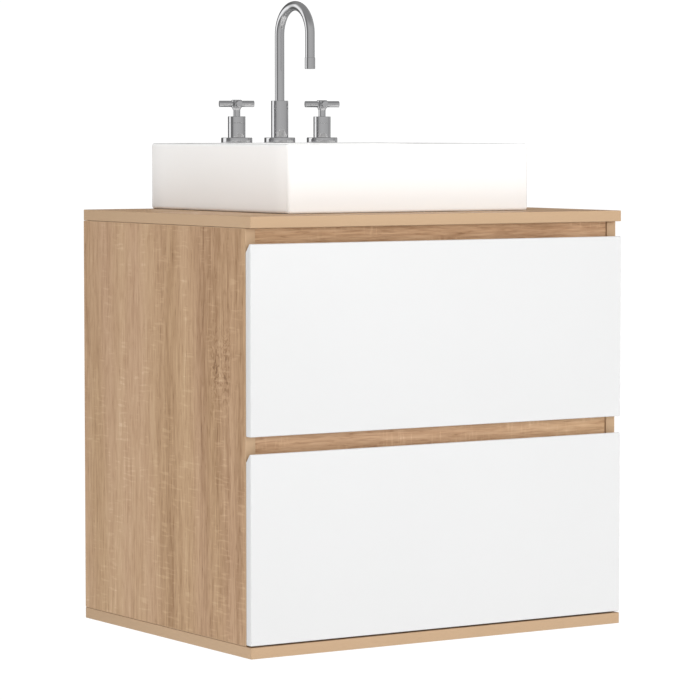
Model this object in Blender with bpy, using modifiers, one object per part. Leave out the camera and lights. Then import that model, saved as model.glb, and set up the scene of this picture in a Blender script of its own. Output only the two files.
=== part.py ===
"""Wall-hung bathroom vanity: two drawers, a vessel sink and a three-hole cross-handle tap set.

Metres, +Z up. The origin is the middle of the cabinet's underside. The drawers open towards
-Y, the wall is at +Y, and hot water is on the left, at -X.
"""

import math

import bmesh
import bpy
from mathutils import Vector

# Fits
GAP = 0.0003                  # between pieces that touch
RUNNING = 0.0004              # around a piece that turns or slides inside another
SWEEP = 0.003                 # between a moving drawer box and the rails it passes

# Cabinet
WIDTH = 0.600
DEPTH = 0.450
HEIGHT = 0.575
BOARD = 0.015
RAIL_RECESS = 0.002           # front rails behind the side panels' front edges
TOP_RAIL_HEIGHT = 0.042
MIDDLE_RAIL_LAP = 0.015       # how far the middle rail reaches past its finger gap, up and down
UPPER_BACK_RAIL_HEIGHT = 0.080
LOWER_BACK_RAIL_HEIGHT = 0.060
HANGER_WIDTH = 0.018
HANGER_DEPTH = 0.060
HANGER_HEIGHT = 0.045
HANGER_DROP = 0.004           # under the top board

# Drawer fronts
FRONT_THICKNESS = 0.0125
FRONT_STANDOFF = 0.0005       # to the side panels' front edges
FRONT_EDGE = 0.0012
TOP_FINGER_GAP = 0.0205
MIDDLE_FINGER_GAP = 0.0225
BOTTOM_REVEAL = 0.002
GRIP_DEPTH = 0.009            # bevel behind each front's top edge
GRIP_HEIGHT = 0.011

# Drawer boxes
RUNNER_SPACE = 0.0127         # between a side panel and a drawer side
BOX_BACK_ROOM = 0.0222        # free depth between a drawer box and the rails on the wall
BOX_HEIGHT = 0.140
BOX_SIDE = 0.012
BOX_BASE = 0.008
BASE_RAISE = 0.008            # base above the lower edge of the sides
LOWER_BOX_LIFT = 0.020        # lower box above the bottom board
TRAP_ROOM = 0.042             # free space round the trap, inside its guard
GUARD = 0.004                 # wall of the guard round the trap

# Runners: nested channels, seen from the front
RUNNER_HEIGHT = 0.045
RUNNER_STEEL = 0.0014
RUNNER_SETBACK = 0.012        # behind the drawer front and before the end of the box
RUNNER_NEST = 0.0030          # from one channel's outer face to the next one's
RUNNER_PLAY = 0.0017          # sideways room between a flange and the next channel's web
RUNNER_RISE = 0.060           # runner's middle line above the lower edge of the box

# Vessel sink
SINK_WIDTH = 0.392
SINK_DEPTH = 0.368
SINK_HEIGHT = 0.0922
SINK_WALL_GAP = 0.007         # from the sink's back to the wall
SINK_CORNER = 0.006
SINK_EDGE = 0.004
SINK_WALL = 0.012
RIM_WIDTH = 0.015
DECK_DEPTH = 0.060
BOWL_DEPTH = 0.074
BOWL_CORNER = 0.030
BOWL_FLOOR_ROUND = 0.018
OVERFLOW_RADIUS = 0.011
OVERFLOW_DROP = 0.026         # overflow centre under the rim
OVERFLOW_WALL = 0.0022
OVERFLOW_LIP = 0.0030
OVERFLOW_FLANGE = 0.0015

# Waste and bottle trap
WASTE_TUBE = 0.0200           # outer radius of the waste's threaded tube
WASTE_WALL = 0.0025
WASTE_LENGTH = 0.075
WASTE_HOLE_ROOM = 0.0025      # round the tube in the sink's waste hole
WASTE_LIP = 0.0085            # how far the flange reaches past that hole
WASTE_FLANGE_THICK = 0.0025
WASTE_NUT_RING = 0.0090
WASTE_NUT_HEIGHT = 0.010
BOARD_HOLE_CLEARANCE = 0.006  # round a pipe that passes through the top board
TAIL_WALL = 0.0015
TAIL_LENGTH = 0.090
TRAP_RADIUS = 0.0310
TRAP_WALL = 0.0030
TRAP_NECK_HEIGHT = 0.050
TRAP_CUP_HEIGHT = 0.070
OUTLET_DROP = 0.025           # outlet pipe's middle line under the trap's top
PLUG_LAP = 0.0025             # how far the plug covers the waste's seat
PLUG_HEIGHT = 0.005
PLUG_STEM = 0.0040
PLUG_STEM_LENGTH = 0.045
PLUG_FLOAT = 0.0004           # plug above the waste's seat when closed

# Tap set
CHROME_EDGE = 0.0008          # bevel on the turned chrome pieces
TAP_SPACING = 0.072
FLANGE_RADIUS = 0.0222
FLANGE_HEIGHT = 0.0073
FLANGE_LIP = 0.0022
VALVE_RADIUS = 0.0125
VALVE_HEIGHT = 0.0302
VALVE_BORE_DEPTH = 0.018
SPINDLE_RADIUS = 0.0052
SPINDLE_SHOWN = 0.0117
SPINDLE_HIDDEN = 0.015
HUB_RADIUS = 0.0075
HUB_HEIGHT = 0.0115
ARM_RADIUS = 0.0045
ARM_REACH = 0.0252
HANDLE_ANGLE = math.radians(-21.0)
SHANK_RADIUS = 0.0080
SHANK_LENGTH = 0.110
LOCK_NUT_RING = 0.0045
LOCK_NUT_HEIGHT = 0.008
SPOUT_BODY_RADIUS = 0.01235
SPOUT_BODY_HEIGHT = 0.0527
SPOUT_TUBE = 0.0068
SPOUT_WALL = 0.0012
SPOUT_SOCKET = 0.030          # how deep the tube stands in the spout body
SPOUT_RISE = 0.1462           # straight tube, from the flange's top to the bend
SPOUT_BEND = 0.0408           # radius of the half-round bend
SPOUT_DROP = 0.0492           # from the bend's end down to the outlet
TIP_LENGTH = 0.0160
TIP_RADIUS = 0.0074
AERATOR_HEIGHT = 0.004

# How finely round things are divided, and how near two points are one
MERGE = 0.00001
FINE_STEPS = 40
PLAIN_STEPS = 24
BEND_STEPS = 14

# Places worked out from the sizes above
FRONT_Y = -DEPTH / 2
BACK_Y = DEPTH / 2
SIDE_FRONT_Y = FRONT_Y + FRONT_THICKNESS + FRONT_STANDOFF
INNER_HALF = WIDTH / 2 - BOARD
FRONT_HEIGHT = (
    HEIGHT - 2 * BOARD - TOP_FINGER_GAP - MIDDLE_FINGER_GAP - BOTTOM_REVEAL
) / 2
LOWER_FRONT_Z = BOARD + BOTTOM_REVEAL
MIDDLE_GAP_Z = LOWER_FRONT_Z + FRONT_HEIGHT
UPPER_FRONT_Z = MIDDLE_GAP_Z + MIDDLE_FINGER_GAP
RAIL_FRONT_Y = SIDE_FRONT_Y + RAIL_RECESS
UPPER_BOX_Z = UPPER_FRONT_Z + MIDDLE_RAIL_LAP + SWEEP
LOWER_BOX_Z = BOARD + LOWER_BOX_LIFT
BOX_FRONT_Y = FRONT_Y + FRONT_THICKNESS + GAP
BOX_BACK_Y = BACK_Y - BOARD - BOX_BACK_ROOM
BOX_HALF = INNER_HALF - RUNNER_SPACE

SINK_BACK_Y = BACK_Y - SINK_WALL_GAP
SINK_FRONT_Y = SINK_BACK_Y - SINK_DEPTH
SINK_BASE_Z = HEIGHT + GAP
RIM_Z = SINK_BASE_Z + SINK_HEIGHT
BOWL_FRONT_Y = SINK_FRONT_Y + RIM_WIDTH
BOWL_BACK_Y = SINK_BACK_Y - DECK_DEPTH
BOWL_HALF = SINK_WIDTH / 2 - RIM_WIDTH
BOWL_FLOOR_Z = RIM_Z - BOWL_DEPTH
WASTE_Y = (BOWL_FRONT_Y + BOWL_BACK_Y) / 2
TAP_Y = SINK_BACK_Y - DECK_DEPTH / 2

WASTE_BORE = WASTE_TUBE - WASTE_WALL
WASTE_HOLE = WASTE_TUBE + WASTE_HOLE_ROOM
WASTE_NUT = WASTE_TUBE + WASTE_NUT_RING
TAIL_RADIUS = WASTE_BORE - RUNNING
WASTE_TOP_Z = BOWL_FLOOR_Z + GAP + WASTE_FLANGE_THICK
WASTE_BOTTOM_Z = BOWL_FLOOR_Z - WASTE_LENGTH
TRAP_TOP_Z = WASTE_BOTTOM_Z - TAIL_LENGTH + TRAP_NECK_HEIGHT
TRAP_SPLIT_Z = TRAP_TOP_Z - TRAP_NECK_HEIGHT
OUTLET_Z = TRAP_TOP_Z - OUTLET_DROP
FLANGE_TOP_Z = RIM_Z + GAP + FLANGE_HEIGHT


def clear_scene():
    """Removes whatever the file starts with."""
    for obj in list(bpy.data.objects):
        bpy.data.objects.remove(obj, do_unlink=True)


def new_collection(name):
    """A collection linked to the scene."""
    made = bpy.data.collections.new(name)
    bpy.context.scene.collection.children.link(made)
    return made


def new_material(name, color, roughness, metallic=0.0):
    """A plain Principled material."""
    made = bpy.data.materials.new(name)
    made.use_nodes = True
    shader = made.node_tree.nodes["Principled BSDF"]
    shader.inputs["Base Color"].default_value = (*color, 1.0)
    shader.inputs["Roughness"].default_value = roughness
    shader.inputs["Metallic"].default_value = metallic
    return made


clear_scene()
PARTS = new_collection("vessel_sink_vanity")
CUTTERS = new_collection("cutters")
CUTTERS.hide_render = True

OAK = new_material("oak_board", (0.58, 0.40, 0.25), 0.55)
LACQUER = new_material("white_lacquer", (0.88, 0.88, 0.87), 0.35)
BIRCH = new_material("drawer_box_board", (0.78, 0.75, 0.70), 0.5)
CERAMIC = new_material("glazed_ceramic", (0.90, 0.90, 0.89), 0.08)
CHROME = new_material("chrome", (0.72, 0.72, 0.73), 0.08, 1.0)
BRASS = new_material("plain_brass", (0.62, 0.49, 0.26), 0.35, 1.0)
ZINC = new_material("zinc_plated_steel", (0.55, 0.56, 0.58), 0.35, 1.0)
PLASTIC = new_material("trap_plastic", (0.82, 0.82, 0.80), 0.45)


def place(obj, home, look, location=(0.0, 0.0, 0.0), rotation=(0.0, 0.0, 0.0)):
    """Links an object, gives it its material and sets where it stands."""
    home.objects.link(obj)
    obj.location = location
    obj.rotation_euler = rotation
    if look is not None:
        obj.data.materials.append(look)
    if home is CUTTERS:
        obj.hide_render = True
        obj.display_type = "WIRE"
    return obj


def object_from(name, shape):
    """An object holding the finished bmesh."""
    mesh = bpy.data.meshes.new(name)
    shape.to_mesh(mesh)
    shape.free()
    return bpy.data.objects.new(name, mesh)


def box(name, low, high, look=OAK, home=None):
    """A box between two corners, standing at its own middle."""
    low, high = Vector(low), Vector(high)
    shape = bmesh.new()
    bmesh.ops.create_cube(shape, size=1.0)
    bmesh.ops.scale(shape, vec=high - low, verts=shape.verts)
    return place(object_from(name, shape), home or PARTS, look, (low + high) / 2)


def rounded_block(name, low, high, corner, bottom, top, home=None, look=None, segments=4):
    """A box with round vertical corners and, where given, round bottom and top edges."""
    low, high = Vector(low), Vector(high)
    half = (high.z - low.z) / 2
    shape = bmesh.new()
    bmesh.ops.create_cube(shape, size=1.0)
    bmesh.ops.scale(shape, vec=high - low, verts=shape.verts)
    upright = [e for e in shape.edges if abs(e.verts[0].co.z - e.verts[1].co.z) > half]
    bmesh.ops.bevel(
        shape, geom=upright, offset=corner, segments=segments, profile=0.5, affect="EDGES"
    )
    for level, radius in ((-half, bottom), (half, top)):
        if radius:
            loop = [
                e for e in shape.edges
                if all(abs(v.co.z - level) < GAP / 10 for v in e.verts)
            ]
            bmesh.ops.bevel(
                shape, geom=loop, offset=radius, segments=3, profile=0.5, affect="EDGES"
            )
    return place(object_from(name, shape), home or PARTS, look, (low + high) / 2)


def turned(name, profile, location, look=CHROME, steps=PLAIN_STEPS, home=None):
    """A profile of (radius, height) pairs, top to bottom on its outer side, turned about Z."""
    mesh = bpy.data.meshes.new(name)
    closed = profile[0][0] > 0
    count = len(profile)
    edges = [(i, (i + 1) % count) for i in range(count if closed else count - 1)]
    mesh.from_pydata([(r, 0.0, z) for r, z in profile], edges, [])
    obj = place(bpy.data.objects.new(name, mesh), home or PARTS, look, location)
    turn = obj.modifiers.new("turn", "SCREW")
    turn.steps = turn.render_steps = steps
    turn.use_merge_vertices = True
    turn.merge_threshold = MERGE
    turn.use_smooth_shade = True
    return obj


def cylinder(name, radius, low, high, look=CHROME, home=None, steps=PLAIN_STEPS):
    """A cylinder between two points, standing at its own middle."""
    low, high = Vector(low), Vector(high)
    shape = bmesh.new()
    bmesh.ops.create_cone(
        shape, cap_ends=True, segments=steps, radius1=radius, radius2=radius,
        depth=(high - low).length,
    )
    turn = (high - low).to_track_quat("Z", "X").to_euler()
    return place(object_from(name, shape), home or PARTS, look, (low + high) / 2, turn)


def outline_plate(name, outline, thickness, location, rotation=(0.0, 0.0, 0.0), look=OAK):
    """A flat outline with thickness, lying in its own XY plane and centred on it."""
    curve = bpy.data.curves.new(name, "CURVE")
    curve.dimensions = "2D"
    curve.fill_mode = "BOTH"
    curve.extrude = thickness / 2
    spline = curve.splines.new("POLY")
    spline.points.add(len(outline) - 1)
    for point, (x, y) in zip(spline.points, outline):
        point.co = (x, y, 0.0, 1.0)
    spline.use_cyclic_u = True
    return place(bpy.data.objects.new(name, curve), PARTS, look, location, rotation)


def rod_curve(name, points, radius, home, look=None, sides=4):
    """A round rod along the points, closed at both ends."""
    curve = bpy.data.curves.new(name, "CURVE")
    curve.dimensions = "3D"
    curve.bevel_depth = radius
    curve.bevel_resolution = sides
    curve.use_fill_caps = True
    spline = curve.splines.new("POLY")
    spline.points.add(len(points) - 1)
    for point, place_at in zip(spline.points, points):
        point.co = (*place_at, 1.0)
    return place(bpy.data.objects.new(name, curve), home, look)


def as_mesh(obj):
    """The same object with its curve made into a welded mesh."""
    graph = bpy.context.evaluated_depsgraph_get()
    mesh = bpy.data.meshes.new_from_object(obj.evaluated_get(graph))
    name, home, matrix = obj.name, obj.users_collection[0], obj.matrix_world.copy()
    shape = bmesh.new()
    shape.from_mesh(mesh)
    bmesh.ops.remove_doubles(shape, verts=shape.verts, dist=MERGE)
    bmesh.ops.recalc_face_normals(shape, faces=shape.faces)
    shape.to_mesh(mesh)
    shape.free()
    bpy.data.objects.remove(obj)
    made = place(bpy.data.objects.new(name, mesh), home, None)
    made.matrix_world = matrix
    return made


def combine(obj, other, operation):
    """Adds an exact Boolean with another object."""
    step = obj.modifiers.new(operation.lower(), "BOOLEAN")
    step.operation = operation
    step.solver = "EXACT"
    step.object = other
    return obj


def round_edges(obj, width, segments=2):
    """Welds an object's caps and rounds its sharp edges."""
    weld = obj.modifiers.new("weld", "WELD")
    weld.merge_threshold = MERGE
    bevel = obj.modifiers.new("edges", "BEVEL")
    bevel.width = width
    bevel.segments = segments
    bevel.limit_method = "ANGLE"
    return obj


def sleeve(outer, inner, top, bottom):
    """The profile of a plain tube between two heights."""
    return [(inner, top), (outer, top), (outer, bottom), (inner, bottom)]


def build_cabinet():
    """The open case: top, bottom, sides, two front rails and two rails against the wall."""
    top = box("top_board", (-WIDTH / 2, FRONT_Y, HEIGHT - BOARD), (WIDTH / 2, BACK_Y, HEIGHT))
    waste_hole = cylinder(
        "top_board_waste_hole", WASTE_NUT + BOARD_HOLE_CLEARANCE,
        (0, WASTE_Y, HEIGHT - 2 * BOARD), (0, WASTE_Y, HEIGHT + BOARD), None, CUTTERS,
    )
    combine(top, waste_hole, "DIFFERENCE")
    for x in (-TAP_SPACING, 0.0, TAP_SPACING):
        hole = cylinder(
            "top_board_tap_hole", SHANK_RADIUS + BOARD_HOLE_CLEARANCE,
            (x, TAP_Y, HEIGHT - 2 * BOARD), (x, TAP_Y, HEIGHT + BOARD), None, CUTTERS,
        )
        combine(top, hole, "DIFFERENCE")
    box("bottom_board", (-WIDTH / 2, FRONT_Y, 0), (WIDTH / 2, BACK_Y, BOARD))

    low, high = BOARD + GAP, HEIGHT - BOARD - GAP
    for side, name in ((-1, "left_side_panel"), (1, "right_side_panel")):
        faces = sorted((side * WIDTH / 2, side * INNER_HALF))
        box(name, (faces[0], SIDE_FRONT_Y, low), (faces[1], BACK_Y, high))

    half = INNER_HALF - GAP
    rail_back = RAIL_FRONT_Y + BOARD
    box("top_rail", (-half, RAIL_FRONT_Y, high - TOP_RAIL_HEIGHT), (half, rail_back, high))
    box(
        "middle_rail",
        (-half, RAIL_FRONT_Y, MIDDLE_GAP_Z - MIDDLE_RAIL_LAP),
        (half, rail_back, UPPER_FRONT_Z + MIDDLE_RAIL_LAP),
    )
    wall_front = BACK_Y - BOARD
    box("upper_back_rail", (-half, wall_front, high - UPPER_BACK_RAIL_HEIGHT), (half, BACK_Y, high))
    box("lower_back_rail", (-half, wall_front, low), (half, BACK_Y, low + LOWER_BACK_RAIL_HEIGHT))


def build_hangers():
    """Steel suspension brackets in the cabinet's upper back corners."""
    top = HEIGHT - BOARD - HANGER_DROP
    back = BACK_Y - BOARD - GAP
    for side, name in ((-1, "left_wall_hanger"), (1, "right_wall_hanger")):
        outer = side * (INNER_HALF - GAP)
        x = sorted((outer, outer - side * HANGER_WIDTH))
        bracket = box(
            name, (x[0], back - HANGER_DEPTH, top - HANGER_HEIGHT), (x[1], back, top), ZINC
        )
        round_edges(bracket, FRONT_EDGE, 1)


def build_runner(drawer, side, box_z):
    """Three nested channels of one telescopic runner, from the side panel to the drawer side."""
    middle_z = box_z + RUNNER_RISE
    front = FRONT_Y + RUNNER_SETBACK + FRONT_THICKNESS
    length = BOX_BACK_Y - RUNNER_SETBACK - front
    hand = "left" if side < 0 else "right"
    reach = RUNNER_SPACE - 2 * GAP
    flange = reach - RUNNER_NEST - RUNNER_STEEL - RUNNER_PLAY
    stages = (
        ("cabinet_member", 0.0, RUNNER_HEIGHT / 2, 1),
        ("middle_member", RUNNER_NEST, RUNNER_HEIGHT / 2 - RUNNER_STEEL - RUNNING, 1),
        ("drawer_member", reach, RUNNER_HEIGHT / 2 - 2 * (RUNNER_STEEL + RUNNING), -1),
    )
    for label, start, half, opens in stages:
        wall = start + opens * RUNNER_STEEL
        lip = start + opens * flange
        inner = half - RUNNER_STEEL
        outline = [
            (start, -half), (lip, -half), (lip, -inner), (wall, -inner),
            (wall, inner), (lip, inner), (lip, half), (start, half),
        ]
        face = side * (INNER_HALF - GAP)
        outline_plate(
            f"{drawer}_{hand}_{label}",
            [(face - side * u, v) for u, v in outline],
            length, (0, front + length / 2, middle_z), (math.pi / 2, 0, 0), ZINC,
        )


def build_drawer_front(name, low):
    """A flat front with a finger bevel behind its top edge."""
    back = FRONT_THICKNESS
    section = [
        (0, 0), (back, 0), (back, FRONT_HEIGHT - GRIP_HEIGHT),
        (back - GRIP_DEPTH, FRONT_HEIGHT), (0, FRONT_HEIGHT),
    ]
    front = outline_plate(
        name, section, WIDTH, (0, FRONT_Y, low), (math.pi / 2, 0, math.pi / 2), LACQUER
    )
    return round_edges(front, FRONT_EDGE)


def build_drawer_sides(drawer, box_z):
    """The two long sides of a drawer box."""
    for side, hand in ((-1, "left"), (1, "right")):
        x = sorted((side * BOX_HALF, side * (BOX_HALF - BOX_SIDE)))
        box(
            f"{drawer}_drawer_{hand}_side",
            (x[0], BOX_FRONT_Y, box_z), (x[1], BOX_BACK_Y, box_z + BOX_HEIGHT),
            BIRCH,
        )


def build_lower_drawer():
    """The deep, whole drawer."""
    build_drawer_front("lower_drawer_front", LOWER_FRONT_Z)
    build_drawer_sides("lower", LOWER_BOX_Z)
    half = BOX_HALF - BOX_SIDE - GAP
    end = BOX_BACK_Y
    base_z = LOWER_BOX_Z + BASE_RAISE
    box("lower_drawer_base", (-half, BOX_FRONT_Y, base_z), (half, end, base_z + BOX_BASE), BIRCH)
    box(
        "lower_drawer_back",
        (-half, end - BOX_SIDE, base_z + BOX_BASE + GAP), (half, end, LOWER_BOX_Z + BOX_HEIGHT),
        BIRCH,
    )


def build_upper_drawer():
    """The drawer round the trap: its base, back and guard leave a notch open to the rear."""
    build_drawer_front("upper_drawer_front", UPPER_FRONT_Z)
    build_drawer_sides("upper", UPPER_BOX_Z)
    half = BOX_HALF - BOX_SIDE - GAP
    end = BOX_BACK_Y
    notch = TRAP_RADIUS + TRAP_ROOM
    notch_y = WASTE_Y - notch
    base_z = UPPER_BOX_Z + BASE_RAISE
    outline = [
        (-half, BOX_FRONT_Y), (half, BOX_FRONT_Y), (half, end), (notch, end),
        (notch, notch_y), (-notch, notch_y), (-notch, end), (-half, end),
    ]
    outline_plate(
        "upper_drawer_base", outline, BOX_BASE, (0, 0, base_z + BOX_BASE / 2), look=BIRCH
    )
    low, high = base_z + BOX_BASE + GAP, UPPER_BOX_Z + BOX_HEIGHT
    wall = notch + GUARD
    guard = [
        (-wall, notch_y - GUARD), (wall, notch_y - GUARD), (wall, end), (notch, end),
        (notch, notch_y), (-notch, notch_y), (-notch, end), (-wall, end),
    ]
    outline_plate(
        "upper_drawer_trap_guard", guard, high - low, (0, 0, (low + high) / 2), look=PLASTIC
    )
    for side, hand in ((-1, "left"), (1, "right")):
        x = sorted((side * half, side * (wall + GAP)))
        box(f"upper_drawer_{hand}_back", (x[0], end - BOX_SIDE, low), (x[1], end, high), BIRCH)


def build_sink():
    """A glazed block with a bowl in front of the tap deck, hollow underneath."""
    half = SINK_WIDTH / 2
    basin = rounded_block(
        "sink_basin", (-half, SINK_FRONT_Y, SINK_BASE_Z), (half, SINK_BACK_Y, RIM_Z),
        SINK_CORNER, SINK_EDGE / 2, SINK_EDGE, look=CERAMIC, segments=3,
    )
    hollow = box(
        "sink_hollow",
        (-half + SINK_WALL, SINK_FRONT_Y + SINK_WALL, SINK_BASE_Z - BOARD),
        (half - SINK_WALL, SINK_BACK_Y - SINK_WALL, RIM_Z - SINK_WALL), None, CUTTERS,
    )
    bowl_low = Vector((-BOWL_HALF, BOWL_FRONT_Y, BOWL_FLOOR_Z))
    bowl_high = Vector((BOWL_HALF, BOWL_BACK_Y, RIM_Z))
    skin = Vector((SINK_WALL, SINK_WALL, SINK_WALL))
    mould = rounded_block(
        "sink_bowl_skin", bowl_low - skin, Vector((*(bowl_high + skin).xy, RIM_Z - SINK_WALL / 2)),
        BOWL_CORNER + SINK_WALL, BOWL_FLOOR_ROUND + SINK_WALL, 0, CUTTERS, segments=5,
    )
    bowl = rounded_block(
        "sink_bowl", bowl_low, bowl_high + Vector((0, 0, BOARD)), BOWL_CORNER,
        BOWL_FLOOR_ROUND, 0, CUTTERS, segments=5,
    )
    combine(hollow, mould, "DIFFERENCE")
    combine(basin, hollow, "DIFFERENCE")
    combine(basin, bowl, "DIFFERENCE")
    waste = cylinder(
        "sink_waste_hole", WASTE_HOLE, (0, WASTE_Y, BOWL_FLOOR_Z - 2 * SINK_WALL),
        (0, WASTE_Y, BOWL_FLOOR_Z + BOARD), None, CUTTERS,
    )
    combine(basin, waste, "DIFFERENCE")
    overflow = cylinder(
        "sink_overflow_hole", OVERFLOW_RADIUS, (0, BOWL_BACK_Y - SINK_WALL, RIM_Z - OVERFLOW_DROP),
        (0, BOWL_BACK_Y + 2 * SINK_WALL, RIM_Z - OVERFLOW_DROP), None, CUTTERS,
    )
    combine(basin, overflow, "DIFFERENCE")
    for x in (-TAP_SPACING, 0.0, TAP_SPACING):
        hole = cylinder(
            "sink_tap_hole", SHANK_RADIUS + RUNNING, (x, TAP_Y, RIM_Z - 2 * SINK_WALL),
            (x, TAP_Y, RIM_Z + BOARD), None, CUTTERS,
        )
        combine(basin, hole, "DIFFERENCE")


def build_overflow_ring():
    """A chrome trim ring in the overflow hole."""
    outer = OVERFLOW_RADIUS - GAP
    bore, lip = outer - OVERFLOW_WALL, OVERFLOW_RADIUS + OVERFLOW_LIP
    front = GAP + OVERFLOW_FLANGE
    profile = [
        (bore, front), (lip, front), (lip, GAP), (outer, GAP), (outer, -SINK_WALL / 2),
        (bore, -SINK_WALL / 2),
    ]
    ring = turned(
        "overflow_ring", profile, (0, BOWL_BACK_Y, RIM_Z - OVERFLOW_DROP), CHROME, FINE_STEPS
    )
    ring.rotation_euler = (math.pi / 2, 0, 0)


def build_waste():
    """Waste, plug, tail pipe and bottle trap down to the wall outlet."""
    here = (0, WASTE_Y, 0)
    seat = WASTE_TOP_Z - WASTE_FLANGE_THICK
    rim = WASTE_HOLE + WASTE_LIP
    turned("waste_fitting", [
        (WASTE_BORE, WASTE_TOP_Z - WASTE_FLANGE_THICK / 2),
        (rim - WASTE_FLANGE_THICK, WASTE_TOP_Z), (rim, seat), (WASTE_TUBE, seat),
        (WASTE_TUBE, WASTE_BOTTOM_Z), (WASTE_BORE, WASTE_BOTTOM_Z),
    ], here, CHROME, FINE_STEPS)
    nut_top = BOWL_FLOOR_Z - SINK_WALL - GAP
    turned(
        "waste_nut",
        sleeve(WASTE_NUT, WASTE_TUBE + GAP, nut_top, nut_top - WASTE_NUT_HEIGHT), here, BRASS,
    )
    edge = WASTE_BORE + PLUG_LAP
    turned("popup_plug", [
        (0, PLUG_HEIGHT), (edge - PLUG_HEIGHT / 2, PLUG_HEIGHT), (edge, PLUG_HEIGHT / 2),
        (edge, 0), (PLUG_STEM, 0), (PLUG_STEM, -PLUG_STEM_LENGTH), (0, -PLUG_STEM_LENGTH),
    ], (0, WASTE_Y, WASTE_TOP_Z + PLUG_FLOAT), CHROME, FINE_STEPS)
    tail_top = WASTE_BOTTOM_Z + SINK_WALL
    turned(
        "waste_tailpiece",
        sleeve(TAIL_RADIUS, TAIL_RADIUS - TAIL_WALL, tail_top, TRAP_SPLIT_Z), here, CHROME,
    )
    neck = TAIL_RADIUS + RUNNING
    shell = TRAP_RADIUS - TRAP_WALL
    housing = turned("trap_housing", [
        (neck, TRAP_TOP_Z), (TRAP_RADIUS, TRAP_TOP_Z), (TRAP_RADIUS, TRAP_SPLIT_Z + GAP),
        (shell, TRAP_SPLIT_Z + GAP), (shell, TRAP_TOP_Z - TRAP_WALL), (neck, TRAP_TOP_Z - TRAP_WALL),
    ], here, PLASTIC)
    outlet = cylinder(
        "trap_outlet_hole", TAIL_RADIUS + RUNNING, (0, WASTE_Y + shell / 2, OUTLET_Z),
        (0, WASTE_Y + 2 * TRAP_RADIUS, OUTLET_Z), None, CUTTERS,
    )
    combine(housing, outlet, "DIFFERENCE")
    cup_z = TRAP_SPLIT_Z - TRAP_CUP_HEIGHT
    turned("trap_cup", [
        (shell, TRAP_SPLIT_Z), (TRAP_RADIUS, TRAP_SPLIT_Z), (TRAP_RADIUS, cup_z),
        (0, cup_z), (0, cup_z + TRAP_WALL), (shell, cup_z + TRAP_WALL),
    ], here, PLASTIC)
    pipe = turned(
        "trap_outlet_pipe",
        sleeve(TAIL_RADIUS, TAIL_RADIUS - TAIL_WALL, 0, WASTE_Y + shell + GAP - BACK_Y),
        (0, BACK_Y, OUTLET_Z), PLASTIC,
    )
    pipe.rotation_euler = (-math.pi / 2, 0, 0)


def build_tap_base(name, x, radius, height, bore, bore_depth):
    """Flange, body with threaded shank, and lock nut under the deck, of one tap."""
    turned(f"{name}_flange", [
        (radius + GAP, FLANGE_HEIGHT), (FLANGE_RADIUS - FLANGE_LIP, FLANGE_HEIGHT),
        (FLANGE_RADIUS, FLANGE_HEIGHT - FLANGE_LIP), (FLANGE_RADIUS, 0), (radius + GAP, 0),
    ], (x, TAP_Y, RIM_Z + GAP), CHROME, FINE_STEPS)
    top = FLANGE_HEIGHT + height
    turned(f"{name}_body", [
        (bore, top), (radius - CHROME_EDGE, top), (radius, top - CHROME_EDGE), (radius, 0),
        (SHANK_RADIUS, 0), (SHANK_RADIUS, -SHANK_LENGTH), (0, -SHANK_LENGTH),
        (0, top - bore_depth), (bore, top - bore_depth),
    ], (x, TAP_Y, RIM_Z + GAP), CHROME, FINE_STEPS)
    under = RIM_Z - SINK_WALL - GAP
    turned(
        f"{name}_lock_nut",
        sleeve(SHANK_RADIUS + LOCK_NUT_RING, SHANK_RADIUS + GAP, under, under - LOCK_NUT_HEIGHT),
        (x, TAP_Y, 0), BRASS,
    )


def build_cross_handle(name, x):
    """Spindle and four-armed handle, standing on the axis that they turn about."""
    axis = bpy.data.objects.new(f"{name}_handle_axis", None)
    place(axis, PARTS, None, (x, TAP_Y, FLANGE_TOP_Z + VALVE_HEIGHT), (0, 0, HANDLE_ANGLE))
    spindle = turned(f"{name}_spindle", [
        (0, SPINDLE_SHOWN), (SPINDLE_RADIUS, SPINDLE_SHOWN), (SPINDLE_RADIUS, -SPINDLE_HIDDEN),
        (0, -SPINDLE_HIDDEN),
    ], (0, 0, 0))
    hub_z = SPINDLE_SHOWN + GAP
    handle = turned(f"{name}_cross_handle", [
        (0, HUB_HEIGHT), (HUB_RADIUS - CHROME_EDGE, HUB_HEIGHT),
        (HUB_RADIUS, HUB_HEIGHT - CHROME_EDGE), (HUB_RADIUS, CHROME_EDGE),
        (HUB_RADIUS - CHROME_EDGE, 0), (0, 0),
    ], (0, 0, hub_z))
    for end in (Vector((ARM_REACH, 0, 0)), Vector((0, ARM_REACH, 0))):
        arm = cylinder(
            f"{name}_arm", ARM_RADIUS, -end, end, None, CUTTERS, PLAIN_STEPS,
        )
        arm.location = (0, 0, HUB_HEIGHT / 2)
        arm.parent = handle
        combine(handle, arm, "UNION")
    spindle.parent = axis
    handle.parent = axis


def gooseneck_route(start_z, end_drop):
    """Points up the straight tube, round the bend and down to the outlet, from the swivel axis."""
    bend_z = SPOUT_RISE
    route = [(0, 0, start_z), (0, 0, bend_z)]
    for step in range(1, BEND_STEPS + 1):
        angle = math.pi * step / BEND_STEPS
        route.append((
            0, -SPOUT_BEND * (1 - math.cos(angle)), bend_z + SPOUT_BEND * math.sin(angle)
        ))
    route.append((0, -2 * SPOUT_BEND, bend_z - end_drop))
    return route


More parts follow.
